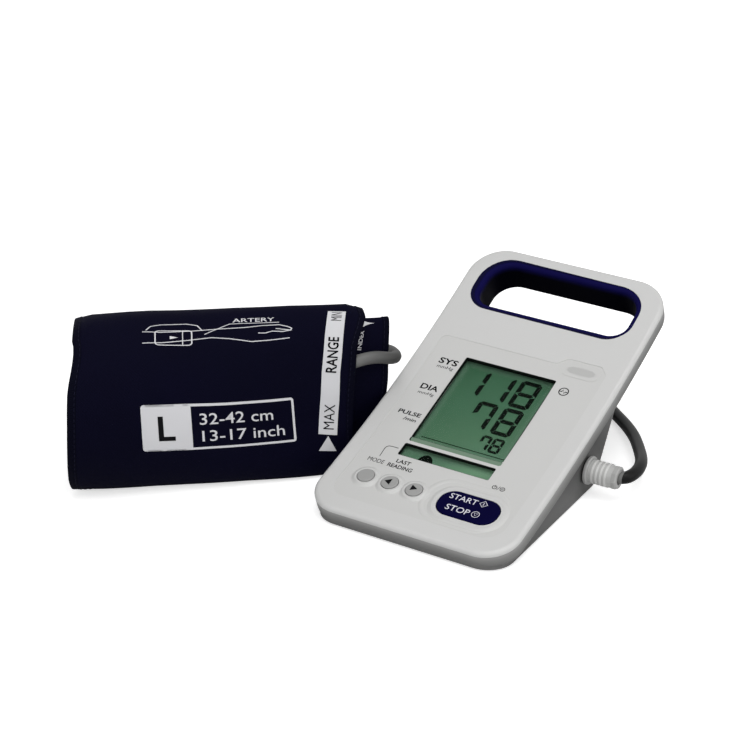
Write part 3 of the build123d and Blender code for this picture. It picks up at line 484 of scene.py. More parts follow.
def make_display_green():
    """Grey-green liquid crystal with painted light and shade: darker at its upper left and paler by its edges
    as light falls on it, and painted black shade outside its windows, under the cover.
    """
    material, shader = new_material("display_green", (0.06, 0.15, 0.08), 0.45, Specular_IOR_Level=0.12)
    tree = material.node_tree
    point = add_point(tree, DISPLAY_FRAME)
    # painted light: darker towards the upper left, paler towards the lower right
    light_lean = add_vector(tree, "DOT_PRODUCT", point, (0.45, -1.0, 0.0))
    stops = ((0.0, (0.030, 0.100, 0.050)), (0.35, (0.046, 0.130, 0.070)), (0.62, (0.066, 0.160, 0.088)),
             (0.80, (0.085, 0.190, 0.115)), (0.88, (0.140, 0.290, 0.170)), (1.0, (0.165, 0.325, 0.195)))
    glow = add_ramp(tree, light_lean, (-50.0, 50.0), stops)
    room = add_math(tree, "MAXIMUM", *(add_inside(tree, point, *field) for field in DISPLAY_FIELDS))
    edge = add_node(tree, "ShaderNodeMapRange", interpolation_type="SMOOTHSTEP", Value=room,
                    From_Min=EDGE_GLOW[0] * MM, From_Max=EDGE_GLOW[1] * MM, To_Min=0.34, To_Max=0.0)
    paler = add_node(tree, "ShaderNodeMix", data_type="RGBA", Factor=edge.outputs["Result"], A=glow,
                     B=(0.17, 0.27, 0.20, 1.0))
    cloud = add_node(tree, "ShaderNodeTexNoise", Vector=point, Scale=45.0, Detail=2.0)
    mottle = add_node(tree, "ShaderNodeMapRange", Value=cloud.outputs["Fac"], To_Min=0.93, To_Max=1.07)
    # painted shade: black outside the windows, under the cover
    inside = add_math(tree, "GREATER_THAN", room, 0.0)
    level = add_math(tree, "MULTIPLY", inside, mottle.outputs["Result"])
    feed(tree, shader.inputs["Base Color"], add_scale(tree, paler.outputs["Result"], level))
    return material
cover_white = moulded("cover_white", tone(0.54, 0.99), 0.42, drift=0.012, grain=0.10)
panel_white = moulded("panel_white", tone(0.52), 0.5, drift=0.012, grain=0.12)
lamp_film = make_lamp_film()
case_grey = make_case_grey()
liner_navy = make_liner_navy()
start_navy = moulded("start_navy", (0.0015, 0.0010, 0.026), 0.3, drift=0.06, grain=0.06,
                     Specular_IOR_Level=0.015)
key_grey = moulded("key_grey", tone(0.29), 0.45, drift=0.02, grain=0.15)
lamp_grey = moulded("lamp_grey", tone(0.42), 0.35, drift=0.01, grain=0.05)
plug_white = make_plug_white()
# green painted on the panel for the display and its lit lower wall below the reading's window
ledge_green = moulded("ledge_green", (0.115, 0.190, 0.128), 0.4, drift=0.03, grain=0.05)
flange_navy = moulded("flange_navy", (0.0030, 0.0026, 0.024), 0.4, drift=0.05, grain=0.05,
                      Specular_IOR_Level=0.03)
ring_grey = moulded("ring_grey", tone(0.36), 0.4, drift=0.02, grain=0.12)
plug_grey = moulded("plug_grey", tone(0.34), 0.45, drift=0.03, grain=0.2)
seal_black = moulded("seal_black", (0.004, 0.006, 0.005), 0.6, drift=0.05, grain=0.2, Specular_IOR_Level=0.1)
hose_rubber = make_hose_rubber()
foot_rubber = moulded("foot_rubber", (0.02, 0.02, 0.02), 0.7, drift=0.08, grain=0.5)
board_green = moulded("board_green", (0.01, 0.07, 0.03), 0.35, drift=0.08, grain=0.1)
part_black = moulded("part_black", (0.012, 0.012, 0.012), 0.45, drift=0.06, grain=0.2)
inner_white = moulded("inner_white", tone(0.48, 0.95), 0.5, drift=0.03, grain=0.2)
metal = moulded("plated_metal", (0.6, 0.6, 0.6), 0.3, drift=0.06, grain=0.08, Metallic=1.0)
cell_green = moulded("cell_sleeve", (0.02, 0.12, 0.07), 0.35, drift=0.05, grain=0.05)
tube_clear = moulded("tube_silicone", (0.6, 0.6, 0.58), 0.4, drift=0.03, grain=0.05)
bladder_rubber = moulded("bladder_rubber", (0.05, 0.045, 0.04), 0.6, drift=0.08, grain=0.3)
pad_foam = moulded("pad_foam", (0.02, 0.02, 0.02), 0.9, drift=0.1, grain=0.8)
contact_stripe = moulded("contact_stripe", (0.25, 0.1, 0.12), 0.6, drift=0.1, grain=0.2)
clear_lens = make_lens()
display_green = make_display_green()

FINISHES = {
    "front_case": cover_white,
    "rear_case": case_grey,
    "battery_cover": case_grey,
    "handle_liner": liner_navy,
    "display_panel": panel_white,
    "display_window": clear_lens,
    "indicator_window": lamp_grey,
    "indicator_led": lamp_grey,
    "lcd_cell": display_green,
    "lcd_holder": inner_white,
    "lcd_contact_strips": contact_stripe,
    "main_board": board_green,
    "circuit_chips": part_black,
    "buzzer": part_black,
    "tact_switches": part_black,
    "pressure_sensor": part_black,
    "power_jack": part_black,
    "mode_button": key_grey,
    "left_button": key_grey,
    "right_button": key_grey,
    "start_button": start_navy,
    "battery_cells": cell_green,
    "battery_links": metal,
    "battery_pad": pad_foam,
    "case_screws": metal,
    "rubber_feet": foot_rubber,
    "pump_motor": metal,
    "pump_head": inner_white,
    "air_manifold": inner_white,
    "exhaust_valve": metal,
    "bleed_valve": inner_white,
    "air_tubes": tube_clear,
    "air_socket": part_black,
    "air_plug_body": plug_white,
    "air_plug_ring": ring_grey,
    "air_plug_cap": plug_grey,
    "air_plug_seal": seal_black,
    "cuff_bladder": bladder_rubber,
    "cuff_nipple": part_black,
}
for name, finish in FINISHES.items():
    mesh = nodes[name].data
    mesh.materials.clear()
    mesh.materials.append(finish)
air_hose.data.materials.append(hose_rubber)

# ---------------------------------------------------------------------------
# Finishes of the cuff's cloth and of the prints
# ---------------------------------------------------------------------------
CLOTH_MAP = "cloth_map"


def make_weave_group():
    """Plain weave along the cloth's own map, in metres, with uneven threads and soft clouding."""
    tree, start, end = new_group(
        "plain_weave",
        [
            ("Map", VECTOR, None),
            ("Color", COLOR, (0.01, 0.01, 0.03, 1.0)),
            ("Threads", FLOAT, 1200.0),
            ("Clouding", FLOAT, 0.2),
            ("Relief", FLOAT, 0.3),
        ],
        [("Color", COLOR), ("Normal", VECTOR)],
    )
    asked = start.outputs
    grow = add_scale(tree, asked["Map"], asked["Threads"])
    wander = add_node(tree, "ShaderNodeTexNoise", Vector=grow, Scale=0.35, Detail=2.0)
    shift = add_vector(tree, "ADD", grow, wander.outputs["Color"])
    split = add_node(tree, "ShaderNodeSeparateXYZ", Vector=shift)
    waves = [add_math(tree, "SINE", add_math(tree, "MULTIPLY", split.outputs[axis], pi)) for axis in "XY"]
    weave = add_math(tree, "MULTIPLY", *waves)
    bump = add_node(tree, "ShaderNodeBump", Distance=0.00025, Height=weave, Strength=asked["Relief"])
    cloud = add_node(tree, "ShaderNodeTexNoise", Vector=asked["Map"], Scale=14.0, Detail=4.0, Roughness=0.6)
    mottle = add_node(tree, "ShaderNodeMapRange", Value=cloud.outputs["Fac"], To_Min=-1.0)
    drift = add_math(tree, "MULTIPLY_ADD", mottle.outputs["Result"], asked["Clouding"], 1.0)
    thread = add_math(tree, "MULTIPLY_ADD", weave, 0.12, drift)
    feed(tree, end.inputs["Color"], add_scale(tree, asked["Color"], thread))
    feed(tree, end.inputs["Normal"], bump.outputs["Normal"])
    return tree


weave_group = make_weave_group()


def woven(name, color, roughness, threads, clouding=0.2, relief=0.3, **sockets):
    """Woven cloth finish, laid out along the piece's cloth map."""
    material, shader = new_material(name, color, roughness, **sockets)
    tree = material.node_tree
    layout = add_node(tree, "ShaderNodeUVMap", uv_map=CLOTH_MAP)
    place_group(tree, shader, weave_group, Map=layout.outputs["UV"], Color=(*color, 1.0), Threads=threads,
                Clouding=clouding, Relief=relief)
    return material


def map_cloth(piece, places):
    """Gives a cloth piece its own flat map, one place in metres for each of its points."""
    layer = piece.data.uv_layers.new(name=CLOTH_MAP)
    for loop in piece.data.loops:
        layer.uv[loop.index].vector = places[loop.vertex_index]


cuff_navy = woven("cuff_navy", (0.0015, 0.0014, 0.0080), 0.65, 1300.0, clouding=0.35, Specular_IOR_Level=0.03)
cuff_lining_navy = woven("cuff_lining_navy", (0.003, 0.003, 0.011), 0.85, 700.0, relief=0.6,
                         Specular_IOR_Level=0.05)
cuff_tape_navy = woven("cuff_tape_navy", (0.0010, 0.0010, 0.0052), 0.6, 1800.0, Specular_IOR_Level=0.03)
stitch_navy = moulded("stitch_navy", (0.004, 0.004, 0.016), 0.6, drift=0.05, grain=0.2,
                      Specular_IOR_Level=0.1)
label_ink = moulded("label_ink", (0.004, 0.004, 0.005), 0.5, drift=0.02, grain=0.02, Specular_IOR_Level=0.04)
sign_white = moulded("sign_white", (0.62, 0.62, 0.68), 0.4, drift=0.01, grain=0.02)
print_white = moulded("print_white", (0.55, 0.55, 0.57), 0.55, drift=0.03, grain=0.2, grain_size=1500.0)
display_dark = moulded("display_dark", (0.001, 0.003, 0.0015), 0.5, drift=0.02, grain=0.02,
                       Specular_IOR_Level=0.02)

# ---------------------------------------------------------------------------
# Cuff: one long padded strip, rolled up from its flap to its inner end. Turns are
# degrees along the roll from the flap, s and its edges millimetres along the axis
# ---------------------------------------------------------------------------
WRAP_THICK = 1.8
# the strip thins out over this share of its width by its edges, and these last degrees of its roll
THIN_EDGE = 0.12
THIN_END = 30.0
FLAP_ANGLE = 266.0
FLAP_CORNER = (15.0, 18.0)
ROLL_TURN = 680.0
# turns past the flap's angle over which the strip moves in, and its edges with it
ROLL_IN = (-10.0, 190.0)
EDGES_IN = (95.0, 190.0)
INNER_SPAN = (18.0, 175.5)
INNER_DEPTH_CUT = 6.5
INNER_BACK_SHIFT = 3.2
INNER_HEIGHT_CUT = (5.6, 7.4)
INNER_REST = (4.4, 5.2)
INNER_WALL = (4.8, 2.1)
# the strip's inner end leans to the right towards its top, and drops there, over the edge of the face
INNER_LEAN = 5.0
LEAN_OUT = (440.0, 530.0)
LEAN_BACK = (560.0, 640.0)
INNER_DROP = 2.9
DROP_SPAN = (140.0, 180.0)
# the strip stays left of the housing's side, in metres, and reaches further right over the face's edge
CASE_CLEAR_X = -0.0632
OVER_FACE = 0.008
FACE_EDGE_Z = (43.0, 66.0)
TABLE_GAP = 0.02
# edges, crown and flare of the outer turn, as it settled when it was rolled
LEFT_EDGE = ((0, 0.5), (90, 0.9), (115, 0.9), (121, 1.7), (128, 1.8), (136, 1.3), (143, 0.5), (150, -0.4),
             (158, -1.2), (170, -1.6), (180, -1.9), (195, -2.5), (210, -3.1), (225, -3.5), (266, -2.9))
LEFT_EDGE_UNDER = -2.7
RIGHT_EDGE = ((-90, 12.0), (0, 10.0), (90, 9.5), (112, 9.0), (127, 5.6), (145, 0.0), (163, -2.0), (180, -4.4),
              (225, -7.0), (266, -8.0))
CROWN = ((-5, -6.0), (0, -5.5), (10, -1.9), (20, -0.6), (30, 0.6), (42, 1.5), (60, 1.7), (90, 2.2),
         (120, 1.6), (140, 0.3), (154, -0.6), (163, -4.2))
FLARE = ((0, 0.0), (12, 1.3), (40, 1.8), (60, 3.5), (90, 7.0), (120, 12.0), (135, 14.2), (154, 12.4),
         (165, 9.5))
FLARE_TURNS = (8.0, 78.0)
# slow and quick waves of the soft cloth: waves per millimetre and per degree, phase and height
SOFT_WAVES = ((0.022, 0.016, 2.7, 0.8), (0.05, 0.045, 9.1, 0.35))
# dent by the left edge of the outer turn: its depth, turn, half width in degrees and span along the axis
DENT_DEPTH = 1.3
DENT_TURN = 130.0
DENT_HALF = 14.0
DENT_SPAN = (-2.0, 14.0)


def between(pair, share):
    """Value a share of the way from the first of a pair to the second."""
    return pair[0] + (pair[1] - pair[0]) * share


def along(value, table):
    """Value read off a table of places and amounts, in straight runs between them."""
    if value <= table[0][0]:
        return table[0][1]
    for (start, low), (end, high) in zip(table, table[1:]):
        if value <= end:
            return low + (high - low) * (value - start) / (end - start)
    return table[-1][1]


def roll_share(turn):
    """How far the strip has moved in from the outer oval to the inner one, from 0 to 1."""
    return ease(turn, FLAP_ANGLE + ROLL_IN[0], FLAP_ANGLE + ROLL_IN[1])


def strip_edges(turn):
    """Left and right ends, along the axis, of the strip at a turn from its flap."""
    angle = FLAP_ANGLE - turn
    inward = ease(turn, FLAP_ANGLE + EDGES_IN[0], FLAP_ANGLE + EDGES_IN[1])
    left = along(angle, LEFT_EDGE)
    if angle < 0:
        left = between((left, LEFT_EDGE_UNDER), ease(-angle, 0, 90))
    left += FLAP_CORNER[0] * (1 - ease(turn, 0, FLAP_CORNER[1]))
    right = CUFF_LENGTH + along(angle, RIGHT_EDGE)
    inner_right = INNER_SPAN[1] + INNER_LEAN * ease(turn, *LEAN_OUT) * (1 - ease(turn, *LEAN_BACK))
    return between((left, INNER_SPAN[0]), inward), between((right, inner_right), inward)


def inner_share(s):
    """Share of the way along the strip's inner turn."""
    return (s - INNER_SPAN[0]) / (INNER_SPAN[1] - INNER_SPAN[0])


def strip_skin(turn, share):
    """Point of the strip's outer skin, a share of the way from its left edge to its right one."""
    left, right = strip_edges(turn)
    s = left + (right - left) * share
    angle = radians(FLAP_ANGLE - turn)
    inner = roll_share(turn)
    outer = 1 - inner
    cut = between(INNER_HEIGHT_CUT, inner_share(s))
    half_depth = between(HALF_DEPTH, s / CUFF_LENGTH) - inner * INNER_DEPTH_CUT
    middle = between(HALF_HEIGHT, s / CUFF_LENGTH)
    half_height = middle - inner * cut
    middle += inner * (between(INNER_REST, inner_share(s)) - cut)
    for across, round_it, phase, size in SOFT_WAVES:
        half_depth += noise.noise(Vector((s * across, turn * round_it, phase))) * size * outer
    dent = (1 - ease(s, *DENT_SPAN)) * (1 - ease(abs(turn - DENT_TURN), 0, DENT_HALF))
    half_depth -= DENT_DEPTH * dent * outer
    w = inner * INNER_BACK_SHIFT + half_depth * cos(angle) + CUFF_LEAN * half_height * sin(angle)
    z = middle + half_height * sin(angle)
    crown = along(s, CROWN) * outer - INNER_DROP * ease(s, *DROP_SPAN) * inner
    z += crown * max(0.0, sin(angle)) ** 2
    w -= along(s, FLARE) * (1 - ease(turn, *FLARE_TURNS))
    place = cuff_point(s, w, max(z, TABLE_GAP))
    place.x = min(place.x, CASE_CLEAR_X + OVER_FACE * ease(z, *FACE_EDGE_Z))
    return place


def strip_thickness(turn, share):
    """Thickness of the strip: thin at its bound edges and flap, fuller over the bladder."""
    s = between(strip_edges(turn), share)
    wall = between(INNER_WALL, inner_share(s))
    full = roll_share(turn) * ease(min(share, 1 - share), 0.0, THIN_EDGE)
    full *= ease(ROLL_TURN - turn, 0, THIN_END)
    return WRAP_THICK + (wall - WRAP_THICK) * full


def strip_point(turn, share, depth):
    """Point a depth, in millimetres, under the strip's outer skin, or over it if negative."""
    step_turn = 1.0
    step_share = 0.01
    place = strip_skin(turn, share)
    down = strip_skin(turn + step_turn, share) - strip_skin(turn - step_turn, share)
    right = strip_skin(turn, share + step_share) - strip_skin(turn, share - step_share)
    out = right.cross(down)
    if out.length < 1e-12:
        return place
    return place + out.normalized() * (-depth * MM)


def mesh_piece(name, points, faces, finish, smooth=True):
    """Mesh object with one finish."""
    mesh = bpy.data.meshes.new(name)
    mesh.from_pydata(points, [], faces)
    mesh.materials.append(finish)
    if smooth:
        mesh.polygons.foreach_set("use_smooth", [True] * len(mesh.polygons))
    mesh.update()
    return add_object(name, mesh)


def closed_grid(rows, columns):
    """Faces of a sheet with two sides, its points in rows, all of the first side before the second."""
    faces = []
    side = rows * columns
    for row in range(rows - 1):
        for column in range(columns - 1):
            a = row * columns + column
            b = a + columns
            faces.append((a, a + 1, b + 1, b))
            faces.append((side + a, side + b, side + b + 1, side + a + 1))
    rim = list(range(columns))
    rim += [row * columns + columns - 1 for row in range(1, rows)]
    rim += [(rows - 1) * columns + column for column in range(columns - 2, -1, -1)]
    rim += [row * columns for row in range(rows - 2, 0, -1)]
    for index, a in enumerate(rim):
        b = rim[(index + 1) % len(rim)]
        faces.append((b, a, side + a, side + b))
    return faces


STRIP_ROWS = 221
STRIP_COLUMNS = 51
MAP_PER_TURN = 0.00074
# share of the strip's thickness at which its lining starts
LINING_START = 0.55


def strip_layer(name, upper, lower, finish):
    """Layer of the rolled strip between two shares of its thickness."""
    points = []
    for depth_share in (upper, lower):
        for row in range(STRIP_ROWS):
            turn = ROLL_TURN * row / (STRIP_ROWS - 1)
            for column in range(STRIP_COLUMNS):
                share = column / (STRIP_COLUMNS - 1)
                points.append(strip_point(turn, share, depth_share * strip_thickness(turn, share)))
    piece = mesh_piece(name, points, closed_grid(STRIP_ROWS, STRIP_COLUMNS), finish)
    places = []
    for row in range(STRIP_ROWS):
        turn = ROLL_TURN * row / (STRIP_ROWS - 1)
        left, right = strip_edges(turn)
        for column in range(STRIP_COLUMNS):
            s = between((left, right), column / (STRIP_COLUMNS - 1))
            places.append((turn * MAP_PER_TURN, s * MM))
    map_cloth(piece, places * 2)
    return piece


cuff_cloth = strip_layer("cuff_cloth", 0.0, LINING_START, cuff_navy)
cuff_lining = strip_layer("cuff_lining_layer", LINING_START, 1.0, cuff_lining_navy)

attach(cuff_cloth, "housing")
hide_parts("cuff_outer_wrap", "cuff_inner_cloth", "cuff_wrap_tapes", "cuff_inner_tapes")
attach(cuff_lining, "housing")
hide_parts("cuff_lining", "cuff_bladder", "cuff_hook_patch")

# ---------------------------------------------------------------------------
# Prints: flat shapes laid out in millimetres, then carried onto their surface
# ---------------------------------------------------------------------------
INK_HALF = 0.03


def plate(outline):
    """Thin closed plate with a flat outline."""
    count = len(outline)
    points = [(x, y, side) for side in (1.0, -1.0) for x, y in outline]
    faces = [tuple(range(count)), tuple(range(2 * count - 1, count - 1, -1))]
    for i in range(count):
        j = (i + 1) % count
        faces.append((i, i + count, j + count, j))
    return points, faces


def band(first, second, closed=False):
    """Thin closed band between two lines of equally many points."""
    count = len(first)
    points = [(x, y, side) for side in (1.0, -1.0) for x, y in first + second]
    faces = []
    for i in range(count if closed else count - 1):
        j = (i + 1) % count
        corners = (i, j, count + j, count + i)
        faces.append(corners)
        faces.append(tuple(2 * count + k for k in reversed(corners)))
        faces.append((i, i + 2 * count, j + 2 * count, j))
        faces.append((count + j, count + j + 2 * count, count + i + 2 * count, count + i))
    if not closed:
        for a, b in ((0, count), (2 * count - 1, count - 1)):
            faces.append((a, b, b + 2 * count, a + 2 * count))
    return points, faces


def stroke(line, width, closed=False):
    """Thin band of one width along a line of points, mitred at its corners."""
    left, right = [], []
    last = len(line) - 1
    for i, (x, y) in enumerate(line):
        before = line[i - 1] if i > 0 or closed else None
        after = line[(i + 1) % len(line)] if i < last or closed else None
        normals = []
        for start, end in ((before, (x, y)), ((x, y), after)):
            if start is not None and end is not None:
                dx, dy = end[0] - start[0], end[1] - start[1]
                size = hypot(dx, dy)
                normals.append((-dy / size, dx / size))
        nx = sum(n[0] for n in normals) / len(normals)
        ny = sum(n[1] for n in normals) / len(normals)
        reach = width / 2 / max(0.5, nx * nx + ny * ny)
        left.append((x + nx * reach, y + ny * reach))
        right.append((x - nx * reach, y - ny * reach))
    return band(left, right, closed)


def arc_line(x, y, radius, start=0.0, end=360.0, steps=28):
    """Points of an arc, in degrees from the right; a whole circle leaves out its last point."""
    whole = abs(end - start) >= 360
    share = [i / steps for i in range(steps if whole else steps + 1)]
    return [(x + radius * cos(radians(start + (end - start) * t)),
             y + radius * sin(radians(start + (end - start) * t))) for t in share]


def rounded_outline(x0, y0, x1, y1, corner, offset=0.0, steps=6):
    """Outline of a rounded rectangle, grown by an offset."""
    outline = []
    for cx, cy, start in ((x1, y1, 0), (x0, y1, 90), (x0, y0, 180), (x1, y0, 270)):
        mx = cx - corner if cx == x1 else cx + corner
        my = cy - corner if cy == y1 else cy + corner
        outline += arc_line(mx, my, corner + offset, start, start + 90, steps)
    return outline


def lettering(text, box, bold=0.0, upward=False):
    """Line of lettering that fills a box (x0, y0, x1, y1); upward reads from bottom to top."""
    curve = bpy.data.curves.new("lettering", "FONT")
    curve.body = text
    curve.extrude = 0.01
    curve.offset = bold
    curve.resolution_u = 3
    holder = bpy.data.objects.new("lettering", curve)
    mesh = bpy.data.meshes.new_from_object(holder)
    points = [tuple(vertex.co) for vertex in mesh.vertices]
    faces = [tuple(polygon.vertices) for polygon in mesh.polygons]
    bpy.data.objects.remove(holder)
    bpy.data.curves.remove(curve)
    bpy.data.meshes.remove(mesh)
    if upward:
        points = [(-y, x, z) for x, y, z in points]
    low = [min(point[axis] for point in points) for axis in range(2)]
    high = [max(point[axis] for point in points) for axis in range(2)]
    fitted = []
    for x, y, z in points:
        fit_x = box[0] + (x - low[0]) / (high[0] - low[0]) * (box[2] - box[0])
        fit_y = box[1] + (y - low[1]) / (high[1] - low[1]) * (box[3] - box[1])
        fitted.append((fit_x, fit_y, 1.0 if z > 0 else -1.0))
    return fitted, faces


def print_piece(name, shapes, place, height, finish, body, cell=None):
    """Prints some flat shapes on a surface; place(x, y, height) gives its points in metres."""
    sheet = bmesh.new()
    for points, faces in shapes:
        corners = [sheet.verts.new(point) for point in points]
        for face in faces:
            sheet.faces.new([corners[i] for i in face])
    bmesh.ops.remove_doubles(sheet, verts=sheet.verts, dist=1e-5)
    bmesh.ops.recalc_face_normals(sheet, faces=sheet.faces)
    if cell:
        for axis in (0, 1):
            reach = [vertex.co[axis] for vertex in sheet.verts]
            at = min(reach) + cell
            while at < max(reach):
                normal = (1, 0, 0) if axis == 0 else (0, 1, 0)
                point = (at, at, 0)
                parts = list(sheet.verts) + list(sheet.edges) + list(sheet.faces)
                bmesh.ops.bisect_plane(sheet, geom=parts, plane_co=point, plane_no=normal)
                at += cell
    bmesh.ops.triangulate(sheet, faces=sheet.faces)
    for vertex in sheet.verts:
        vertex.co = place(vertex.co.x, vertex.co.y, height + vertex.co.z * INK_HALF)
    mesh = bpy.data.meshes.new(name)
    sheet.to_mesh(mesh)
    sheet.free()
    mesh.materials.append(finish)
    piece = add_object(name, mesh)
    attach(piece, body)
    return piece


def on_face(u, s, height):
    """Point over the housing's face, in metres."""
    return face_point(u, s, -height)


# ---------------------------------------------------------------------------
# Display: its digits, line and mark, the dark sheets of painted shade and the ledge
# of its windows, and the flange of the handle's opening
# ---------------------------------------------------------------------------
SEGMENTS_OF = {"1": "bc", "7": "abcf", "8": "abcdefg"}
# rows of digits: bottom and top, width of a segment, and each digit with its left and right
DIGIT_ROWS = (
    ((17.3, 38.3), 2.8, (("1", -25.0, -12.6), ("1", -9.1, 3.3), ("8", 6.2, 19.0))),
    ((-5.0, 15.9), 2.8, (("7", -9.2, 3.1), ("8", 6.6, 18.9))),
    ((-18.2, -7.2), 1.7, (("7", 4.9, 11.1), ("8", 12.0, 18.7))),
)
DIGIT_GAP = 0.13
# cut corners of the segments, as a share of their width
SEGMENT_NICK = 0.3
READING_LIFT = 0.05
RULE = (-27.3, 24.2, -20.55, -20.05)
LOWER_MARK = ((-20.9, -39.0), (-20.8, -36.9), (-20.0, -34.3), (-18.6, -32.6), (-16.6, -31.8), (-14.6, -32.3),
              (-12.9, -33.9), (-11.9, -36.0), (-11.6, -39.0))


def on_display(u, v, height):
    """Point over the display's glass, in metres."""
    return DISPLAY_FRAME @ (Vector((u, v, height)) * MM)


def digit_segments(digit, left, bottom, right, top, width):
    """Plates of the segments that a digit lights up."""
    middle = (bottom + top) / 2
    gap = DIGIT_GAP
    half = width / 2
    nick = width * SEGMENT_NICK

    def side(x, inward, start, end, away):
        """Upright segment from the middle bar to a corner; away is 1 upward and -1 downward."""
        return plate([
            (x, start + away * gap),
            (x + inward * width, start + away * (half + gap)),
            (x + inward * width, end - away * (width + gap)),
            (x + inward * nick, end - away * (nick + gap)),
            (x, end - away * (2 * nick + gap)),
        ])

    def bar(y, inward):
        """Level segment at the top or the bottom."""
        return plate([
            (left + nick + gap, y + inward * nick),
            (left + 2 * nick + gap, y),
            (right - 2 * nick - gap, y),
            (right - nick - gap, y + inward * nick),
            (right - width - gap, y + inward * width),
            (left + width + gap, y + inward * width),
        ])

    centre = plate([
        (left + half + gap, middle),
        (left + width + gap, middle + half),
        (right - width - gap, middle + half),
        (right - half - gap, middle),
        (right - width - gap, middle - half),
        (left + width + gap, middle - half),
    ])
    made = {
        "a": lambda: bar(top, -1),
        "b": lambda: side(right, -1, middle, top, 1),
        "c": lambda: side(right, -1, middle, bottom, -1),
        "d": lambda: bar(bottom, 1),
        "e": lambda: side(left, 1, middle, bottom, -1),
        "f": lambda: side(left, 1, middle, top, 1),
        "g": lambda: centre,
    }
    return [made[segment]() for segment in SEGMENTS_OF[digit]]


def make_display_reading():
    """Readings of the display: two rows of large digits, a small row, a line and a lower mark."""
    shapes = []
    for (bottom, top), width, digits in DIGIT_ROWS:
        for digit, left, right in digits:
            shapes += digit_segments(digit, left, bottom, right, top, width)
    left, right, bottom, top = RULE
    shapes.append(band([(left, bottom), (right, bottom)], [(left, top), (right, top)]))
    shapes.append(plate(list(LOWER_MARK)))
    print_piece("display_reading", shapes, on_display, READING_LIFT, display_dark, "housing")


def loop_ring(name, outline, profile, place, finish, body, smooth=True):
    """Closed ring: a section of (offset, height) points run round outline(offset)."""
    points = []
    for offset, height in profile:
        points += [place(x, y, height) for x, y in outline(offset)]
    count = len(outline(0.0))
    faces = []
    for k in range(len(profile)):
        low, high = k * count, (k + 1) % len(profile) * count
        for i in range(count):
            j = (i + 1) % count
            faces.append((low + i, low + j, high + j, high + i))
    piece = mesh_piece(name, points, faces, finish, smooth)
    fix = bmesh.new()
    fix.from_mesh(piece.data)
    bmesh.ops.recalc_face_normals(fix, faces=fix.faces)
    fix.to_mesh(piece.data)
    fix.free()
    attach(piece, body)
    return piece


# windows of the display, each lined with a dark sheet of painted shade
WINDOWS = {"reading_window_shade": (-30.2, 66.3, 26.6, 132.2), "strip_window_shade": (-30.7, 51.6, 25.5, 61.2)}
WINDOW_CORNER = 1.0
WINDOW_SHADE_SECTION = ((-0.02, -0.32), (-0.02, -2.25), (-0.2, -2.25), (-0.2, -0.32))
PANEL_HEIGHT = -0.25
# prints stand this far over what carries them
INK_LIFT = 0.01
# sloped lower edge of the reading's window, painted on the panel with its light and shade: its drop, cut
# corners and painted shadow at its left end
LEDGE = 2.9
LEDGE_CUT = (0.9, 0.8)
LEDGE_SHADE = 0.7
LEDGE_SHADE_LIFT = 0.05
# arcs round the handle's opening: centre, radius, angles, and how far the flange stands out at each end
FLANGE_ARCS = ((37.0, 182.8, 13.0, 330, 270, -0.3, 1.3), (-37.0, 182.8, 13.0, 270, 180, 0.8, 2.3),
               (-33.0, 190.9, 17.0, 180, 90, 2.3, 1.0), (33.0, 190.9, 17.0, 90, 60, 0.1, -0.3))
FLANGE_LAP = 0.4
FLANGE_STEPS = 8


def make_window_shades():
    """Dark sheet of painted shade round the inside of each display window, down to the lens, where its walls
    lie in shade.
    """
    for name, (x0, y0, x1, y1) in WINDOWS.items():
        loop_ring(name, lambda offset: rounded_outline(x0, y0, x1, y1, WINDOW_CORNER, offset),
                  WINDOW_SHADE_SECTION, on_face, seal_black, "housing", smooth=False)


def make_reading_ledge():
    """Sloped lower edge of the reading's window, painted flat on the panel in the green of the display and of
    its lit lower wall, with a painted shadow at its left end.
    """
    x0, y0, x1, _ = WINDOWS["reading_window_shade"]
    low = y0 - LEDGE
    across, up = LEDGE_CUT
    height = PANEL_HEIGHT + INK_LIFT
    ledge = plate([(x0, y0), (x1, y0), (x1, low + up), (x1 - across, low), (x0 + across, low),
                   (x0, low + up)])
    print_piece("reading_ledge", [ledge], on_face, height, ledge_green, "housing")
    shaded = plate([(x0, y0), (x0, low + up), (x0 + across, low), (x0 + 2 * LEDGE_SHADE, low),
                    (x0 + LEDGE_SHADE, low + 1.0), (x0 + LEDGE_SHADE, y0)])
    print_piece("reading_ledge_shade", [shaded], on_face, height + LEDGE_SHADE_LIFT, display_dark,
                "housing")


def make_handle_flange():
    """Navy flange of the handle's liner, widest at the left and thin at the front."""
    inner, outer = [], []
    for x, y, radius, start, end, first, last in FLANGE_ARCS:
        for i in range(FLANGE_STEPS + 1):
            share = i / FLANGE_STEPS
            angle = radians(between((start, end), share))
            reach = radius + between((first, last), share)
            lap = radius - FLANGE_LAP
            inner.append((x + lap * cos(angle), y + lap * sin(angle)))
            outer.append((x + reach * cos(angle), y + reach * sin(angle)))
    print_piece("handle_flange", [band(inner, outer)], on_face, INK_LIFT, flange_navy, "housing",
                cell=4.0)


make_display_reading()
make_window_shades()
make_reading_ledge()
make_handle_flange()

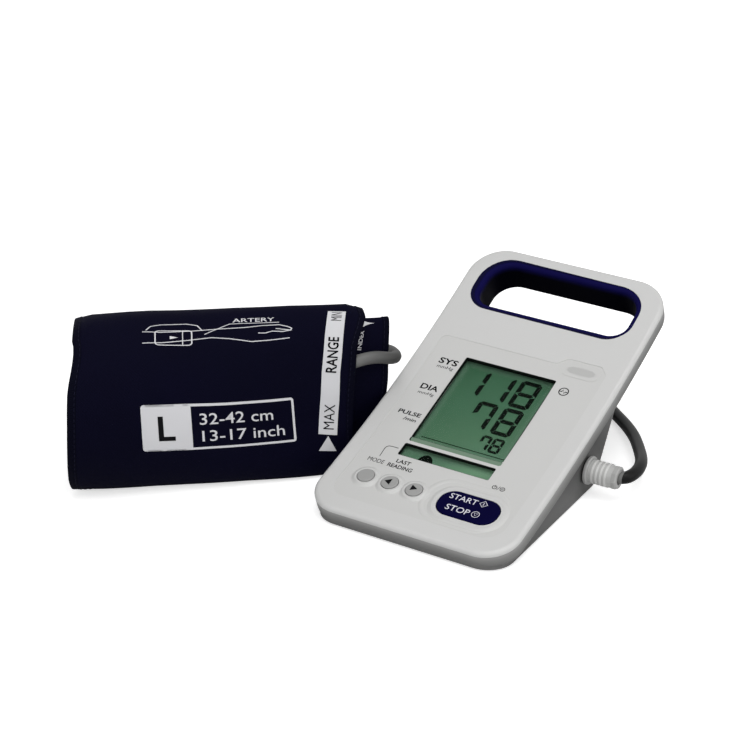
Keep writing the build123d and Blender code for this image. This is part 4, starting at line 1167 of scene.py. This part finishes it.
# ---------------------------------------------------------------------------
# Lettering and signs on the panel and the buttons
# ---------------------------------------------------------------------------
# words, the boxes they fill and how much bolder they are
LABELS = (
    ("SYS", (-44.2, 123.3, -32.4, 127.7), 0.024),
    ("mmHg", (-43.3, 119.2, -33.1, 122.1), 0.0),
    ("DIA", (-44.6, 102.0, -33.5, 106.1), 0.024),
    ("mmHg", (-43.9, 97.6, -33.9, 100.3), 0.0),
    ("PULSE", (-47.0, 80.9, -33.0, 83.9), 0.024),
    ("/min", (-41.5, 76.8, -33.6, 79.2), 0.02),
    ("MODE", (-44.1, 41.6, -34.2, 44.6), 0.0),
    ("LAST", (-28.4, 45.7, -19.7, 48.5), 0.02),
    ("READING", (-31.7, 41.4, -16.5, 44.3), 0.02),
)
BRACKET = ((-39.0, 46.6), (-39.4, 53.2), (-39.1, 54.6), (-38.0, 55.5), (-36.5, 55.8), (-32.3, 55.8))
# heights of the signs over the face, just over the tops of their buttons
START_TOP = 1.11
SMALL_TOP = 1.51
LAMP_FILM = (11.2, 5.0)
LAMP_FILM_CORNER = 4.4
LAMP_FILM_LIFT = 0.12


def make_panel_labels():
    """Printed names of the readings and buttons, with the small signs at the right."""
    shapes = [lettering(text, box, bold) for text, box, bold in LABELS]
    shapes.append(stroke(list(BRACKET), 0.4))
    # standby sign, a slash and a stop sign over the start button
    shapes.append(stroke(arc_line(31.1, 48.4, 1.25, 115, 425, 22), 0.42))
    shapes.append(stroke([(31.1, 48.3), (31.1, 50.1)], 0.42))
    shapes.append(stroke([(32.9, 46.9), (34.0, 49.9)], 0.3))
    shapes.append(stroke(arc_line(35.8, 48.4, 1.3, steps=22), 0.4, closed=True))
    shapes.append(stroke(arc_line(35.8, 48.4, 0.45, steps=12), 0.3, closed=True))
    # pulse sign beside the display
    shapes.append(stroke(arc_line(33.9, 126.1, 2.7, steps=30), 0.6, closed=True))
    shapes.append(stroke([(31.6, 125.9), (32.8, 125.9), (33.4, 127.5), (34.3, 124.6), (34.9, 126.1),
                          (36.2, 126.1)], 0.55))
    print_piece("panel_labels", shapes, on_face, PANEL_HEIGHT + INK_LIFT, label_ink, "housing")


def make_button_signs():
    """White lettering on the start button and dark arrows on two of the small ones."""
    start = [
        lettering("START", (12.8, 31.2, 29.1, 35.1), 0.004),
        lettering("STOP", (14.5, 22.9, 28.6, 27.0), 0.004),
        stroke([(32.6, 35.9), (34.9, 33.6), (32.6, 31.3), (30.3, 33.6)], 0.32, closed=True),
        stroke([(32.6, 34.7), (32.6, 32.5)], 0.36),
        stroke(arc_line(32.1, 25.1, 2.15), 0.32, closed=True),
        stroke([(31.1, 26.0), (33.1, 26.0), (32.1, 24.1)], 0.32, closed=True),
    ]
    print_piece("start_button_lettering", start, on_face, START_TOP, sign_white, "start_button")
    left = plate([(-25.7, 29.4), (-21.9, 27.3), (-22.1, 32.0)])
    right = plate([(-9.5, 27.9), (-5.8, 30.1), (-9.7, 32.2)])
    print_piece("left_arrow", [left], on_face, SMALL_TOP, label_ink, "left_button")
    print_piece("right_arrow", [right], on_face, SMALL_TOP, label_ink, "right_button")


def make_lamp_cover():
    """Film of the panel over the lamp."""
    (u, s), (across, up) = LAMP_MIDDLE, LAMP_FILM
    outline = rounded_outline(u - across, s - up, u + across, s + up, LAMP_FILM_CORNER)
    print_piece("lamp_cover_film", [plate(outline)], on_face, PANEL_HEIGHT + LAMP_FILM_LIFT, lamp_film,
                "housing", cell=2.0)


make_panel_labels()
make_button_signs()
make_lamp_cover()

# ---------------------------------------------------------------------------
# Soft skirts round the buttons and the raised contour round the start button
# ---------------------------------------------------------------------------
SMALL_BUTTONS = {"mode": -37.6, "left": -22.6, "right": -7.6}
SMALL_BUTTON_S = 29.5
# sections of the skirts and the contour: radius, or distance out from a box, and height over the panel
SMALL_SKIRT = ((8.3, -0.06), (7.9, 0.07), (7.5, 0.2), (7.15, 0.46), (6.85, 0.74), (6.5, 0.95), (6.1, 1.08),
               (5.75, 1.1), (5.45, 0.98), (5.25, 0.76), (5.14, 0.45), (5.12, -0.9), (8.0, -0.9))
START_BOX = (8.1, 19.25, 43.7, 37.75)
START_CORNER = 8.4
START_SKIRT = ((5.2, -0.06), (4.6, 0.05), (3.9, 0.24), (3.3, 0.5), (2.7, 0.7), (2.0, 0.8), (1.3, 0.76),
               (0.8, 0.6), (0.5, 0.36), (0.38, 0.0), (0.36, -0.9), (5.0, -0.9))
CONTOUR_BOX = (-0.4, 14.2, 45.6, 45.4)
CONTOUR_CORNER = 13.0
CONTOUR = ((1.7, -0.04), (1.1, 0.05), (0.5, 0.14), (0.0, 0.17), (-0.5, 0.14), (-1.1, 0.05), (-1.7, -0.04),
           (-1.7, -0.4), (1.7, -0.4))


def over_panel(x, y, height):
    """Point over the panel, in metres."""
    return face_point(x, y, -PANEL_HEIGHT - height)


def make_skirts():
    """Rounded white skirts that stand round the buttons, and the contour round the large one."""
    for name, u in SMALL_BUTTONS.items():
        loop_ring(name + "_button_skirt", lambda radius: arc_line(u, SMALL_BUTTON_S, radius, steps=48),
                  SMALL_SKIRT, over_panel, panel_white, "housing")
    loop_ring("start_button_skirt",
              lambda offset: rounded_outline(*START_BOX, START_CORNER, offset, 12),
              START_SKIRT, over_panel, panel_white, "housing")
    loop_ring("start_button_contour",
              lambda offset: rounded_outline(*CONTOUR_BOX, CONTOUR_CORNER, offset, 14),
              CONTOUR, over_panel, panel_white, "housing")


make_skirts()

# ---------------------------------------------------------------------------
# Prints on the cuff: each is laid out in a unit frame whose rows are held at turns and places
# ---------------------------------------------------------------------------
# rows: height in the frame, and (turn, s) of the row's left and right ends
RANGE_ROWS = ((0.0, (61.1, 127.8), (57.3, 138.3)), (0.25, (83.4, 129.7), (79.9, 140.6)),
              (0.5, (105.7, 132.0), (102.5, 142.5)), (0.75, (133.5, 136.2), (130.6, 146.7)),
              (1.0, (161.4, 141.2), (158.6, 151.5)))
POINTER_ROWS = ((0.0, (47.09, 127.27), (43.95, 137.14)), (1.0, (60.0, 127.8), (56.4, 138.2)))
SIZE_ROWS = ((0.0, (65.7, 34.94), (58.51, 115.59)), (1.0, (98.66, 34.56), (91.76, 114.73)))
ARM_ROWS = ((0.0, (139.2, 35.4), (128.9, 117.5)), (1.0, (158.3, 36.0), (151.4, 119.8)))
INDEX_ROWS = ((0.0, (480.2, 157.4), (479.5, 159.8)), (1.0, (503.4, 161.0), (502.6, 163.4)))
ARROW_ROWS = ((0.0, (503.4, 159.6), (514.8, 170.6)), (1.0, (530.0, 161.6), (516.0, 170.7)))
# pale prints stand this far over the cloth, and the dark ones over them
PALE_LIFT = 0.10
DARK_LIFT = 0.16


def cuff_frame(rows):
    """Gives place(x, y, height) for a unit frame held on the rolled strip, x and y from 0 to 1."""
    def place(x, y, height):
        """Point of the frame in metres, between the two rows that it lies between."""
        low, high = rows[0], rows[-1]
        for first, second in zip(rows, rows[1:]):
            if y <= second[0] or second is rows[-1]:
                low, high = first, second
                break
        share = (y - low[0]) / (high[0] - low[0])
        left = [between((low[1][k], high[1][k]), share) for k in (0, 1)]
        right = [between((low[2][k], high[2][k]), share) for k in (0, 1)]
        turn = between((left[0], right[0]), x)
        s = between((left[1], right[1]), x)
        start, end = strip_edges(turn)
        return strip_point(turn, (s - start) / (end - start), -height)
    return place


def box_plate(x0, y0, x1, y1):
    """Plain rectangular plate."""
    return band([(x0, y0), (x1, y0)], [(x0, y1), (x1, y1)])


def scaled(shapes, width, height):
    """Shapes drawn in millimetres, brought into the unit frame of a print that wide and high."""
    return [([(x / width, y / height, z) for x, y, z in points], faces) for points, faces in shapes]


def cuff_print(name, shapes, rows, height, finish, cell):
    """Prints shapes of a unit frame on the cuff."""
    print_piece(name, shapes, cuff_frame(rows), height, finish, "housing", cell)


def make_range_print():
    """Long pale bar with the range of the arm's size, and the pointer under it."""
    cuff_print("range_bar", [box_plate(0, 0, 1, 1)], RANGE_ROWS, PALE_LIFT, print_white, 0.05)
    words = [
        lettering("MAX", (0.24, 0.045, 0.80, 0.25), upward=True),
        lettering("RANGE", (0.19, 0.50, 0.79, 0.745), 0.02, upward=True),
        lettering("MIN", (0.22, 0.888, 0.80, 0.984), upward=True),
    ]
    cuff_print("range_lettering", words, RANGE_ROWS, DARK_LIFT, label_ink, 0.05)
    pointer = plate([(0, 0), (1, 0), (0.52, 1)])
    cuff_print("range_pointer", [pointer], POINTER_ROWS, PALE_LIFT, print_white, 0.2)


def make_size_print():
    """Outlined box with the size letter on a pale field and the arm sizes beside it."""
    wide, high, corner = 80.0, 24.0, 1.6
    outer = rounded_outline(0, 0, wide, high, corner)
    inner = rounded_outline(0, 0, wide, high, corner, -1.25)
    field = rounded_outline(0, 0, 25.4, high, corner)
    pale = scaled([band(outer, inner, closed=True), plate(field)], wide, high)
    pale.append(lettering("32-42 cm", (0.37, 0.56, 0.853, 0.80), 0.004))
    pale.append(lettering("13-17 inch", (0.38, 0.18, 0.925, 0.43), 0.004))
    cuff_print("size_print", pale, SIZE_ROWS, PALE_LIFT, print_white, 0.03)
    letter = plate([(0.104, 0.235), (0.21, 0.235), (0.21, 0.33), (0.137, 0.33), (0.137, 0.76), (0.104, 0.76)])
    cuff_print("size_letter", [letter], SIZE_ROWS, DARK_LIFT + 0.02, label_ink, 0.05)


def make_arm_print():
    """Plain line drawing of an arm with a band round it, and where the artery runs."""
    wide, high = 86.0, 22.0
    line = 0.7
    upper = [(2, 13.6), (12, 13.0), (30, 14.2), (44, 15.6), (58, 16.2), (68, 17.8), (78, 18.2), (83, 16.0)]
    lower = [(2, 2.2), (12, 2.8), (28, 5.4), (40, 7.4), (50, 6.2), (62, 3.6), (72, 4.4), (84, 6.0)]
    hand = [(83, 16.0), (85.2, 14.2), (84.6, 12.6), (80, 11.6), (74, 12.2), (70, 10.6), (66, 10.8)]
    shapes = [stroke(path, line) for path in (upper, lower, hand)]
    shapes.append(stroke([(84.6, 12.6), (76, 14.6)], line))
    shapes.append(stroke(rounded_outline(9, 0.8, 29, 14.6, 2.2), line, closed=True))
    shapes.append(stroke([(24, 14.6), (24, 0.8)], line * 0.7))
    shapes.append(stroke([(4, 15.2), (6.5, 19.6), (12, 21.6), (26, 22.2), (32, 20.0), (34.5, 14.9)], line))
    shapes.append(stroke([(36, 10.5), (50, 20.6), (78, 20.9)], line * 0.8))
    shapes.append(plate([(17, 6.3), (17, 9.3), (21.5, 7.8)]))
    shapes = scaled(shapes, wide, high)
    shapes.append(lettering("ARTERY", (0.60, 1.01, 0.875, 1.22), 0.006))
    cuff_print("arm_print", shapes, ARM_ROWS, PALE_LIFT, print_white, 0.03)


def make_index_print():
    """Word and arrow of the index mark, on the strip's inner end beside the wrap's right edge."""
    word = lettering("INDEX", (0, 0, 1, 1), 0.012, upward=True)
    arrow = plate([(0, 0), (1, 0.45), (1, 0.55), (0, 1)])
    cuff_print("index_lettering", [word], INDEX_ROWS, PALE_LIFT, print_white, 0.2)
    cuff_print("index_arrow", [arrow], ARROW_ROWS, PALE_LIFT, print_white, 0.25)


make_range_print()
make_size_print()
make_arm_print()
make_index_print()

# ---------------------------------------------------------------------------
# Cuff's bound edges: a folded tape and its stitches
# ---------------------------------------------------------------------------
TAPE_WIDTH = 4.2
# share of the strip's width under which the tape's inner edge lies
TAPE_SHARE = 0.025
TAPE_PROUD = 0.22
TAPE_BEVEL = 0.2
TAPE_SHOULDER = 0.6
TAPE_ROUND = 0.05
TAPE_FOLD = 0.25
SIDE_RINGS = 361
FLAP_RINGS = 61
FLAP_MAP_STEP = 0.0026
# degrees of the roll for each millimetre back from the flap's end
TURN_PER_MM = 1.35
STITCH_LENGTH = 2.2
STITCH_PITCH = 3.0
STITCH_INSET = 3.3
STITCH_TURNS = (6.0, ROLL_TURN - 20.0)
STITCH_RADIUS = 0.2
STITCH_ARCH = 0.12
# rings of a stitch: place along it, and how full it is there
STITCH_RINGS = ((-0.5, 0.0), (-0.42, 0.7), (0.0, 1.0), (0.42, 0.7), (0.5, 0.0))
STITCH_SIDES = 6
# fullness at which a ring's middle is level with the tape, and the least that a ring has
STITCH_SUNK = 0.75
STITCH_LEAST = 0.25


def strip_place(turn, side, inset, depth):
    """Point of the strip that far in from its left (0) or right (1) edge."""
    left, right = strip_edges(turn)
    share = inset / (right - left)
    return strip_point(turn, share if side == 0 else 1 - share, depth)


def tape_section(thick, deep):
    """Section of a folded tape as (inset, depth): over the skin, round the edge and back underneath."""
    bevel = TAPE_WIDTH - TAPE_BEVEL
    return (
        (TAPE_WIDTH, 0.0), (bevel, -TAPE_PROUD), (TAPE_SHOULDER, -TAPE_PROUD), (0.0, -TAPE_ROUND),
        (-TAPE_FOLD, thick * 0.3), (-TAPE_FOLD, thick * 0.7), (0.0, thick + TAPE_ROUND),
        (TAPE_SHOULDER, thick + TAPE_PROUD), (bevel, deep + TAPE_PROUD), (TAPE_WIDTH, deep),
    )


def tube_faces(rings, count, first=0, turned=False):
    """Faces of a closed tube of rings of points, from a first point on; turned over where they run back."""
    faces = []
    for start in range(first, first + (rings - 1) * count, count):
        for k in range(count):
            a, b = start + k, start + (k + 1) % count
            faces.append((a, b, b + count, a + count))
    faces.append(tuple(range(first + count - 1, first - 1, -1)))
    faces.append(tuple(range(first + (rings - 1) * count, first + rings * count)))
    if turned:
        faces = [tuple(reversed(face)) for face in faces]
    return faces


def make_tape(name, rings, map_step, turned=False):
    """Tape from its rings of points, with its cloth laid out by a step from ring to ring."""
    count = len(rings[0])
    points = [point for ring in rings for point in ring]
    piece = mesh_piece(name, points, tube_faces(len(rings), count, turned=turned), cuff_tape_navy)
    map_cloth(piece, [(row * map_step, k * MM) for row in range(len(rings)) for k in range(count)])
    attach(piece, "housing")


def make_side_tape(name, side):
    """Tape folded round a long edge of the strip."""
    step = ROLL_TURN / (SIDE_RINGS - 1)
    rings = []
    for row in range(SIDE_RINGS):
        turn = row * step
        thick = strip_thickness(turn, 0.0)
        deep = max(thick, strip_thickness(turn, TAPE_SHARE))
        rings.append([strip_place(turn, side, inset, depth) for inset, depth in tape_section(thick, deep)])
    make_tape(name, rings, step * MAP_PER_TURN, turned=side == 0)


def make_flap_tape():
    """Tape folded round the flap's end."""
    section = tape_section(WRAP_THICK, WRAP_THICK)
    shares = [column / (FLAP_RINGS - 1) for column in range(FLAP_RINGS)]
    rings = [[strip_point(inset * TURN_PER_MM, share, depth) for inset, depth in section] for share in shares]
    make_tape("cuff_flap_tape", rings, FLAP_MAP_STEP)


def stitch_points(turn, side):
    """Points of one stitch at a turn, and how far it is from there to the next degree, in metres."""
    here = strip_place(turn, side, STITCH_INSET, -TAPE_PROUD)
    ahead = strip_place(turn + 1.0, side, STITCH_INSET, -TAPE_PROUD)
    out = (strip_place(turn, side, STITCH_INSET, -1.0) - here).normalized()
    run = (ahead - here).normalized()
    across = run.cross(out)
    points = []
    for step, swell in STITCH_RINGS:
        middle = here + run * (step * STITCH_LENGTH * MM) + out * ((swell - STITCH_SUNK) * STITCH_ARCH * MM)
        reach = max(swell, STITCH_LEAST) * STITCH_RADIUS * MM
        for k in range(STITCH_SIDES):
            angle = 2 * pi * k / STITCH_SIDES
            points.append(middle + (across * cos(angle) + out * sin(angle)) * reach)
    return points, (ahead - here).length


def make_stitches():
    """Rows of small stitches along both bound edges, on the strip's outer skin."""
    points, faces = [], []
    for side in (0, 1):
        turn = STITCH_TURNS[0]
        while turn < STITCH_TURNS[1]:
            stitch, degree = stitch_points(turn, side)
            faces += tube_faces(len(STITCH_RINGS), STITCH_SIDES, len(points), turned=True)
            points += stitch
            turn += STITCH_PITCH * MM / degree
    piece = mesh_piece("cuff_stitches", points, faces, stitch_navy)
    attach(piece, "housing")


make_side_tape("cuff_left_tape", 0)
make_side_tape("cuff_right_tape", 1)
make_flap_tape()
make_stitches()

# ---------------------------------------------------------------------------
# Light, floor and backdrop
# ---------------------------------------------------------------------------
TARGET = (-0.05, 0.06, 0.04)
FLOOR_HALF = 8.0
FLOOR_LIFT = 0.58
BACKDROP_FILL = 0.35


def add_area_light(name, place, size, power):
    """Soft rectangular lamp that points at the object."""
    data = bpy.data.lights.new(name, "AREA")
    data.shape = "RECTANGLE"
    data.size, data.size_y = size
    data.energy = power
    lamp = add_object(name, data)
    lamp.location = place
    lamp.rotation_euler = (Vector(place) - Vector(TARGET)).to_track_quat("Z", "Y").to_euler()


def make_backdrop():
    """World that is white where it is seen or mirrored, and lights the object less than that."""
    world = bpy.data.worlds.new("studio")
    bpy.context.scene.world = world
    world.use_nodes = True
    tree = world.node_tree
    backdrop = tree.nodes["Background"]
    backdrop.inputs["Color"].default_value = (1.0, 1.0, 1.0, 1.0)
    ray = tree.nodes.new("ShaderNodeLightPath").outputs
    seen = add_math(tree, "MAXIMUM", ray["Is Camera Ray"], ray["Is Glossy Ray"])
    level = add_node(tree, "ShaderNodeMapRange", Value=seen, To_Min=BACKDROP_FILL)
    feed(tree, backdrop.inputs["Strength"], level.outputs["Result"])


def make_floor():
    """Pale table top, lifted to white where it is seen, with the object's shadow kept."""
    mesh = bpy.data.meshes.new("floor")
    corners = [(x * FLOOR_HALF, y * FLOOR_HALF, 0.0) for x, y in ((-1, -1), (1, -1), (1, 1), (-1, 1))]
    mesh.from_pydata(corners, [], [(0, 1, 2, 3)])
    floor = add_object("floor", mesh)
    material, shader = new_material("floor_white", (0.8, 0.8, 0.8), 0.8)
    tree = material.node_tree
    path = tree.nodes.new("ShaderNodeLightPath")
    lift = add_math(tree, "MULTIPLY", path.outputs["Is Camera Ray"], FLOOR_LIFT)
    shader.inputs["Emission Color"].default_value = (1.0, 1.0, 1.0, 1.0)
    feed(tree, shader.inputs["Emission Strength"], lift)
    mesh.materials.append(material)


add_area_light("key_light", (0.35, -0.2, 1.6), (1.2, 1.2), 14.8)
add_area_light("front_light", (0.3, -1.6, 1.0), (1.4, 1.0), 10.0)
add_area_light("side_light", (1.5, 0.2, 0.7), (1.0, 1.0), 5.0)
make_backdrop()
make_floor()
